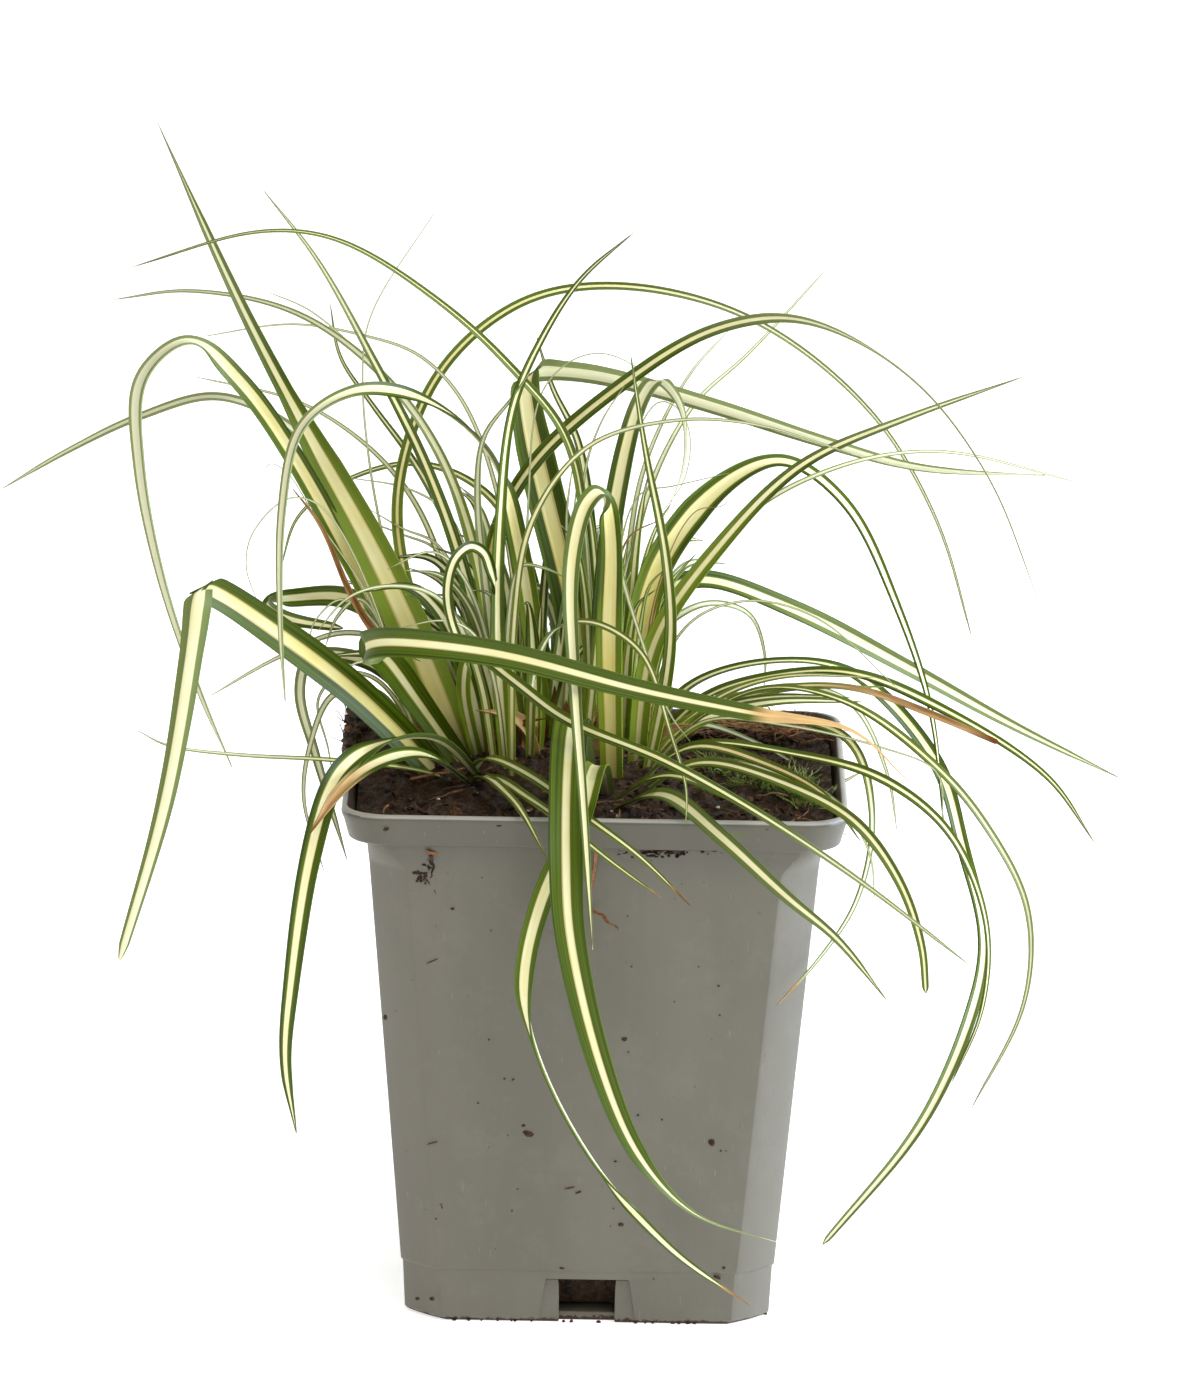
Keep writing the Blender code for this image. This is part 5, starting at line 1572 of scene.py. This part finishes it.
@dataclass
class Foliage:
    """All the leaves: each blade is a copy of a blank, laid along its route and given its skin.

    Sizes are in millimetres, twist in radians. Tail_run, pale_run and brown_run are the shares of a
    blade's length over which it narrows to its tail, turns pale and burns at its tip. Crease_reach is
    the share of its width over which a folded blade flattens into its crease. The foot of a blade, a
    share of its length, is shaded down to the peat from shade_depth above it.
    """

    bed: PeatBed
    thickness: float = 0.32
    thin: float = 0.2
    span_steps: int = 14
    smoothing: int = 6
    twist: float = 0.14
    uneven: float = 0.05
    sink: float = 2.0
    crease_reach: float = 0.6
    tail_run: float = 0.12
    pale_run: float = 0.15
    brown_run: float = 0.1
    foot: float = 0.2
    shade_depth: float = 13.0
    crisp_above: float = 50.0

    def __post_init__(self) -> None:
        """Shape the blanks and mix the leaf finishes."""
        self.blanks = {grade: BladeBlank(*grade.value).shape() for grade in Grade}
        self.upper = LeafFinish("sedge_leaf_upper").make()
        self.under = LeafFinish("sedge_leaf_under", paling=0.4, roughness=0.5).make()

    def stations(self, blade: Blade, count: int) -> list[Vector]:
        """Give evenly spaced points of a blade's smooth midrib.

        Args:
            blade: the blade whose route is followed.
            count: how many equal lengths the midrib is divided into.

        Returns:
            The points in metres, one more than the count.
        """
        x, y = blade.route[0][:2]
        start = Vector((x, y, self.bed.height(x, y) - self.sink))
        points = [start] + [Vector(point) for point in blade.route[1:]]
        knots = [points[0] * 2 - points[1], *points, points[-1] * 2 - points[-2]]
        dense = []
        for index in range(len(points) - 1):
            for step in range(self.span_steps):
                dense.append(curve_point(knots[index:index + 4], step / self.span_steps))
        dense.append(points[-1])
        for _ in range(self.smoothing):
            inner = [(a + b * 2 + c) / 4 for a, b, c in zip(dense, dense[1:], dense[2:])]
            dense = [dense[0], *inner, dense[-1]]
        lengths = [0.0]
        for before, after in zip(dense, dense[1:]):
            lengths.append(lengths[-1] + (after - before).length)
        made, index = [], 0
        for step in range(count + 1):
            goal = lengths[-1] * step / count
            while index < len(dense) - 2 and lengths[index + 1] < goal:
                index += 1
            share = (goal - lengths[index]) / max(lengths[index + 1] - lengths[index], 1e-9)
            made.append(dense[index].lerp(dense[index + 1], share) * MM)
        return made

    def width(self, blade: Blade, share: float, length: float) -> float:
        """Give a blade's width: it swells from its base, narrows, and ends in a point or a blunt tip.

        Args:
            blade: the blade.
            share: the share of its length.
            length: its length in metres.

        Returns:
            The width in metres.
        """
        grown = blade.base + (1 - blade.base) * min(1.0, share / blade.widest_at)
        shrunk = min(1.0, max(0.0, (share - blade.tail_at) / self.tail_run)) * (1 - blade.tail)
        narrowed = blade.tip + (1 - blade.tip) * (1 - share ** blade.taper)
        end = 0.5 if blade.tip > 0.25 else 2.5
        to_tip = (1 - share) * length / (blade.width * MM * end)
        point = min(1.0, max(to_tip, 0.0)) ** 0.6
        return blade.width * MM * grown * narrowed * (1 - shrunk) * max(point, 0.04)

    def way(self, blade: Blade, share: float) -> Vector:
        """Give the way that a blade's upper face looks, turning smoothly from one to the next.

        Args:
            blade: the blade.
            share: the share of its length.

        Returns:
            The way, of any length.
        """
        place = share * (len(blade.ways) - 1)
        index = min(int(place), len(blade.ways) - 2)
        if index < 0:
            return Vector(blade.ways[0].value)
        step = place - index
        step = step * step * (3 - 2 * step)
        return Vector(blade.ways[index].value).lerp(Vector(blade.ways[index + 1].value), step)

    def crease(self, points: Sequence[Vector], width: float) -> tuple[int, Vector]:
        """Find where a folded blade is creased, and which way the crease runs.

        Args:
            points: the stations of its midrib.
            width: the blade's width in metres.

        Returns:
            The index of the station at the sharpest turn, and the crease's direction.
        """
        gap = max(2, round(width / (points[1] - points[0]).length))
        turns = [(b - a).angle(c - b) for a, b, c in zip(points, points[gap:], points[2 * gap:])]
        fold = turns.index(max(turns)) + gap
        before = points[fold - gap] - points[fold - 2 * gap]
        after = points[fold + 2 * gap] - points[fold + gap]
        return fold, (before.normalized() + after.normalized()).normalized()

    def sections(self, blade: Blade, rows: int, seed: float) -> tuple[list[tuple], float]:
        """Give a blade's midrib points with the directions and width of each section.

        Args:
            blade: the blade.
            rows: how many lengths it is divided into.
            seed: picks the blade's own small unevenness.

        Returns:
            (point, across, upper, width) for each station, and the blade's length in metres.
        """
        points = self.stations(blade, rows)
        length = sum((b - a).length for a, b in zip(points, points[1:]))
        fold, crease = self.crease(points, blade.width * MM) if blade.folded else (2 * rows, Vector())
        made = []
        for index, point in enumerate(points):
            share = index / rows
            along = (points[min(index + 1, rows)] - points[max(index - 1, 0)]).normalized()
            way = Vector(BACK.value) if index > fold else self.way(blade, share)
            across = along.cross(way).normalized()
            near = 1 - abs(index - fold) * length / rows / (self.crease_reach * blade.width * MM)
            if near > 0:
                across = across.lerp(crease * math.copysign(1.0, crease.dot(across)), near).normalized()
            turn = self.twist * noise.noise(Vector((share * 3.5, seed, 0.5)))
            across = Matrix.Rotation(turn, 3, along) @ across
            uneven = 1 + self.uneven * noise.noise(Vector((share * 9, seed, 7.5)))
            made.append((point, across, across.cross(along), self.width(blade, share, length) * uneven))
        return made, length

    def tones(self, blade: Blade, share: float, z: float) -> tuple[float, float, float, float]:
        """Give how dry, young and lit through with painted light, pale and shaded a blade is at a share of
        its length.

        Args:
            blade: the blade.
            share: the share of its length.
            z: the height of the place in metres.

        Returns:
            The four values, each from 0 to 1.
        """
        dry = min(1.0, max(0.0, (share - blade.dry) / blade.drying + 0.5)) if blade.dry > 0 else 1.0
        dry *= blade.dryness
        # young green near the base, partly painted light shining through the blade
        young_and_backlit = max(0.0, 1 - share / max(blade.young_and_backlit, 0.01)) ** 0.7 if share < blade.young_and_backlit else 0.0
        pale = blade.paleness * min(1.0, max(0.0, (share - blade.pale) / self.pale_run + 0.5))
        below = max(0.0, (self.bed.level + self.shade_depth) * MM - z)
        depth = min(1.0, below / (self.shade_depth * MM)) if share < self.foot else 0.0
        return (dry, 0.85 * young_and_backlit, pale, 0.7 * depth)

    def lay(self, blade: Blade, seed: float) -> bpy.types.Object:
        """Lay a copy of a blank along a blade's route and give it thickness.

        Args:
            blade: the blade to make.
            seed: picks its own small unevenness and vein pattern.

        Returns:
            The blade's object, with its attributes and both finishes.
        """
        grade = Grade.of(blade.width)
        mesh = self.blanks[grade].copy()
        rows = grade.value[1]
        sections, length = self.sections(blade, rows, seed)
        stretch_uv(mesh, length)
        for name in ("tone", "band", "age"):
            mesh.attributes.new(name, "FLOAT_COLOR", "POINT")
        tone, band, age = (mesh.attributes[name] for name in ("tone", "band", "age"))
        for vertex in mesh.vertices:
            share = vertex.co.y + 0.5
            point, across, upper, width = sections[round(share * rows)]
            vertex.co = point + across * (vertex.co.x * width) + upper * (vertex.co.z * width)
            index = vertex.index
            tone.data[index].color = self.tones(blade, share, point.z)
            stripe = blade.stripe[0] + (blade.stripe[1] - blade.stripe[0]) * share
            band.data[index].color = (stripe / 2, blade.shift, seed, blade.width)
            burn = blade.burn + 0.5 * max(0.0, share - 0.9) / self.brown_run
            age.data[index].color = (burn, blade.gold * max(0.0, 1 - share / 0.75), 0.0, 1.0)
        mesh.materials.append(self.upper)
        mesh.materials.append(self.under)
        thing = add_object(blade.name, mesh)
        thickness = self.thin if grade is Grade.FINE else self.thickness
        apply_modifier(thing, "SOLIDIFY", thickness=thickness * MM, offset=0.0, material_offset=1,
                       material_offset_rim=0, use_even_offset=False)
        smooth(thing, self.crisp_above)
        return thing

    def build_named(self, blades: Sequence[Blade]) -> None:
        """Build blades that each stand for a CAD node of the same name.

        Args:
            blades: the blades.
        """
        for blade in blades:
            thing = self.lay(blade, (sum(map(ord, blade.name)) % 97) * 1.37)
            hand_over(thing, blade.name.replace("leaf_", "blade_"), blade.slot, [blade.name])

    def build_joined(self, name: str, slot: str, blades: Sequence[Blade]) -> None:
        """Build several small blades and join them as one piece.

        Args:
            name: the piece's name.
            slot: the record's material slot that it belongs to.
            blades: the blades.
        """
        things = [self.lay(blade, 3.1 * index + len(name)) for index, blade in enumerate(blades)]
        pick_only(*things)
        bpy.ops.object.join()
        hand_over(things[0], name, slot)


@dataclass(frozen=True)
class InnerTuft:
    """A bunch of young blades that fill the heart of a tuft.

    They stand on an ellipse round the centre, lean away along the lean, in millimetres at full height,
    and rise to between the two heights. Bend is how far each one nods over at its end.
    """

    name: str
    centre: tuple[float, float]
    spread: tuple[float, float]
    count: int
    heights: tuple[float, float]
    lean: tuple[float, float]
    bend: float
    widths: tuple[float, float]
    young_and_backlit: float
    seed: int
    dry: float = NEVER
    burn: float = 0.3

    def blades(self, bed: PeatBed) -> list[Blade]:
        """Draw the tuft's blades by seeded chance.

        Args:
            bed: the bed of peat that they stand on.

        Returns:
            The blades.
        """
        chance = random.Random(self.seed)
        made = []
        for index in range(self.count):
            angle = chance.uniform(0, 2 * math.pi)
            reach = math.sqrt(chance.random())
            x = self.centre[0] + reach * self.spread[0] * math.cos(angle)
            y = self.centre[1] + reach * self.spread[1] * math.sin(angle)
            height = chance.uniform(*self.heights)
            out_x = self.lean[0] + 0.45 * height * (x - self.centre[0]) / 10 + chance.gauss(0, 3)
            out_y = self.lean[1] + 0.45 * height * (y - self.centre[1]) / 10 + chance.gauss(0, 3)
            base = bed.height(x, y)
            nod = self.bend * chance.uniform(0.2, 1.0)
            reach = (0.45 + 0.5 * nod) * max(1.0, 9 / (1 + math.hypot(out_x, out_y)))
            route = ((x, y),
                     (x + 0.22 * out_x, y + 0.22 * out_y, base + 0.42 * height),
                     (x + 0.55 * out_x, y + 0.55 * out_y, base + 0.80 * height),
                     (x + out_x, y + out_y, base + height),
                     (x + out_x * (1 + reach), y + out_y * (1 + reach), base + height * (1.14 - 0.4 * nod)))
            ways = (chance.choice((FRONT, FRONT_UP, LEFT_FRONT, RIGHT_FRONT)), FRONT)
            made.append(Blade(f"{self.name}_{index}", chance.uniform(*self.widths), chance.uniform(1.1, 1.8),
                              route, ways, stripe=(chance.uniform(0.28, 0.5),) * 2, young_and_backlit=self.young_and_backlit,
                              pale=chance.choice((NEVER, NEVER, NEVER, 0.5)), paleness=0.5, dry=self.dry,
                              burn=self.burn * chance.uniform(0.5, 1.2), gold=chance.uniform(0.1, 0.9)))
        return made


INNER_TUFTS = (
    InnerTuft("inner_left", (-17, 5), (5, 8), 7, (16, 36), (-14, 2), 0.4, (2.8, 4.8), 0.25, 5),
    InnerTuft("inner_centre", (-13, 6), (8, 8), 15, (16, 42), (-4, 2), 0.35, (2.2, 4.4), 0.5, 6),
    InnerTuft("inner_core", (3, 3), (4, 8), 13, (16, 44), (1, 2), 0.15, (1.8, 3.6), 1.0, 7),
    InnerTuft("inner_behind", (-14, 13), (12, 4), 9, (15, 29), (-6, 8), 0.3, (2.8, 4.6), 0.6, 21),
    InnerTuft("inner_right", (8, 8), (4, 9), 5, (8, 18), (20, 4), 0.8, (1.3, 2.4), 0.4, 8),
    InnerTuft("inner_back", (-3, 16), (9, 6), 19, (16, 36), (-2, 18), 0.8, (1.8, 3.8), 0.3, 9),
    InnerTuft("sheaths_left", (-22, 1), (5, 8), 9, (6, 13), (-2, 0), 0.1, (2.6, 4.6), 0.0, 12, 0.0, 0.9),
    InnerTuft("sheaths_centre", (-5, 3), (15, 9), 16, (5, 13), (1, 0), 0.1, (2.4, 4.6), 0.0, 13, 0.0, 0.85),
)


# ---------------------------------------------------------------- the studio

@dataclass(frozen=True)
class Softbox:
    """A rectangular studio light, in metres and watts, that looks at a point."""

    name: str
    at: tuple[float, float, float]
    target: tuple[float, float, float]
    size: tuple[float, float]
    power: float
    colour: str = "ffffff"

    def build(self) -> None:
        """Put the light in the scene."""
        light = bpy.data.lights.new(self.name, "AREA")
        light.shape = "RECTANGLE"
        light.size, light.size_y = self.size
        light.energy = self.power
        light.color = linear(self.colour)[:3]
        thing = bpy.data.objects.new(self.name, light)
        thing.location = self.at
        thing.rotation_mode = "QUATERNION"
        thing.rotation_quaternion = (Vector(self.target) - Vector(self.at)).to_track_quat("-Z", "Y")
        bpy.context.scene.collection.objects.link(thing)


@dataclass
class Studio:
    """The pale table, the soft lights and the camera, which looks down a little at the pot's front."""

    elevation: float = 13.06
    distance: float = 2.0
    aim_height: float = 0.096
    lens: float = 285.5
    roll: float = 0.95
    tilt_up: float = 0.329
    pan_right: float = 0.022
    sky: float = 0.5
    lights: tuple[Softbox, ...] = (
        Softbox("key_box", (0.55, -0.75, 1.15), (0, 0, 0.12), (1.0, 0.7), 10.0),
        Softbox("right_box", (0.95, -0.05, 0.30), (0, 0, 0.06), (0.4, 0.6), 15.0, "d0e2ff"),
    )

    def build_table(self) -> None:
        """Build the table: a wide sheet that curves up behind the plant."""
        bpy.ops.mesh.primitive_plane_add(size=6.0, location=(0, 1.2, 0))
        table = bpy.context.object
        bpy.ops.object.transform_apply(location=True, rotation=True, scale=True)
        edit(table)
        select(table, "EDGE", lambda e: all(v.co.y > 4 for v in e.verts))
        for move in ((0, 0.5, 0.12), (0, 0.3, 0.5), (0, 0, 3.0)):
            bpy.ops.mesh.extrude_region_move(TRANSFORM_OT_translate={"value": move})
        close()
        smooth(table, 80)
        table.name = "studio_table"
        table.data.materials.append(FloorFinish().make())
        table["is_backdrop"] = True

    def build_camera(self) -> None:
        """Build the camera at the viewing angle."""
        up = math.radians(self.elevation)
        away = Vector((0, -math.cos(up), math.sin(up)))
        camera = bpy.data.cameras.new("camera")
        camera.lens = self.lens
        camera.sensor_width = 36.0
        camera.clip_start, camera.clip_end = 0.1, 50.0
        thing = bpy.data.objects.new("camera", camera)
        thing.location = Vector((0, 0, self.aim_height)) + away * self.distance
        facing = (-away).to_track_quat("-Z", "Y").to_matrix()
        roll = Matrix.Rotation(math.radians(self.roll), 3, "Z")
        tilt = Matrix.Rotation(math.radians(self.tilt_up), 3, "X")
        pan = Matrix.Rotation(math.radians(-self.pan_right), 3, "Y")
        thing.rotation_mode = "QUATERNION"
        thing.rotation_quaternion = (facing @ roll @ tilt @ pan).to_quaternion()
        bpy.context.scene.collection.objects.link(thing)
        bpy.context.scene.camera = thing

    def build(self) -> None:
        """Build the whole studio."""
        world = bpy.data.worlds.new("studio_sky")
        world.use_nodes = True
        background = world.node_tree.nodes["Background"]
        background.inputs["Color"].default_value = (1.0, 1.0, 1.0, 1.0)
        background.inputs["Strength"].default_value = self.sky
        bpy.context.scene.world = world
        bpy.context.scene.view_settings.view_transform = "Standard"
        for light in self.lights:
            light.build()
        self.build_table()
        self.build_camera()
        LOG.info("studio: %d lights, table and camera", len(self.lights))


def write_sizes() -> None:
    boxes = {"cad": CAD_BOX, "visual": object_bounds()}
    {name: [list(corner) for corner in box] for name, box in boxes.items()}


def main() -> None:
    """Build the pot, the peat, what lies on it, the leaves and the studio."""
    logging.basicConfig(level=logging.INFO, format="%(message)s")
    Studio().build()
    NurseryPot().build()
    bed = PeatBed()
    cover = GroundCover(bed)
    bed.build_bed(cover.peat)
    cover.build()
    foliage = Foliage(bed)
    for blades in (LEFT_BLADES, CENTRE_BLADES, RIGHT_BLADES, FRONT_BLADES, OLD_BLADES):
        foliage.build_named(blades)
    living, dead = {"stripe": (0.5, 0.5), "pale": 0.35}, {"dry": 0.0, "burn": 0.6}
    for name, slot, table, looks in (("fine_left", "striped_leaf", FINE_LEFT, living),
                                     ("fine_centre", "striped_leaf", FINE_CENTRE, living),
                                     ("fine_right", "striped_leaf", FINE_RIGHT, living),
                                     ("fine_old", "dry_leaf", FINE_OLD, dead)):
        foliage.build_joined(name, slot, [Blade(f"{name}_{index}", width, 1.2, route, **looks)
                                          for index, (width, route) in enumerate(table)])
    for tuft in INNER_TUFTS:
        slot = "striped_leaf" if tuft.dry else "dry_leaf"
        foliage.build_joined(tuft.name, slot, tuft.blades(bed))
    write_sizes()


if __name__ == "__main__":
    main()
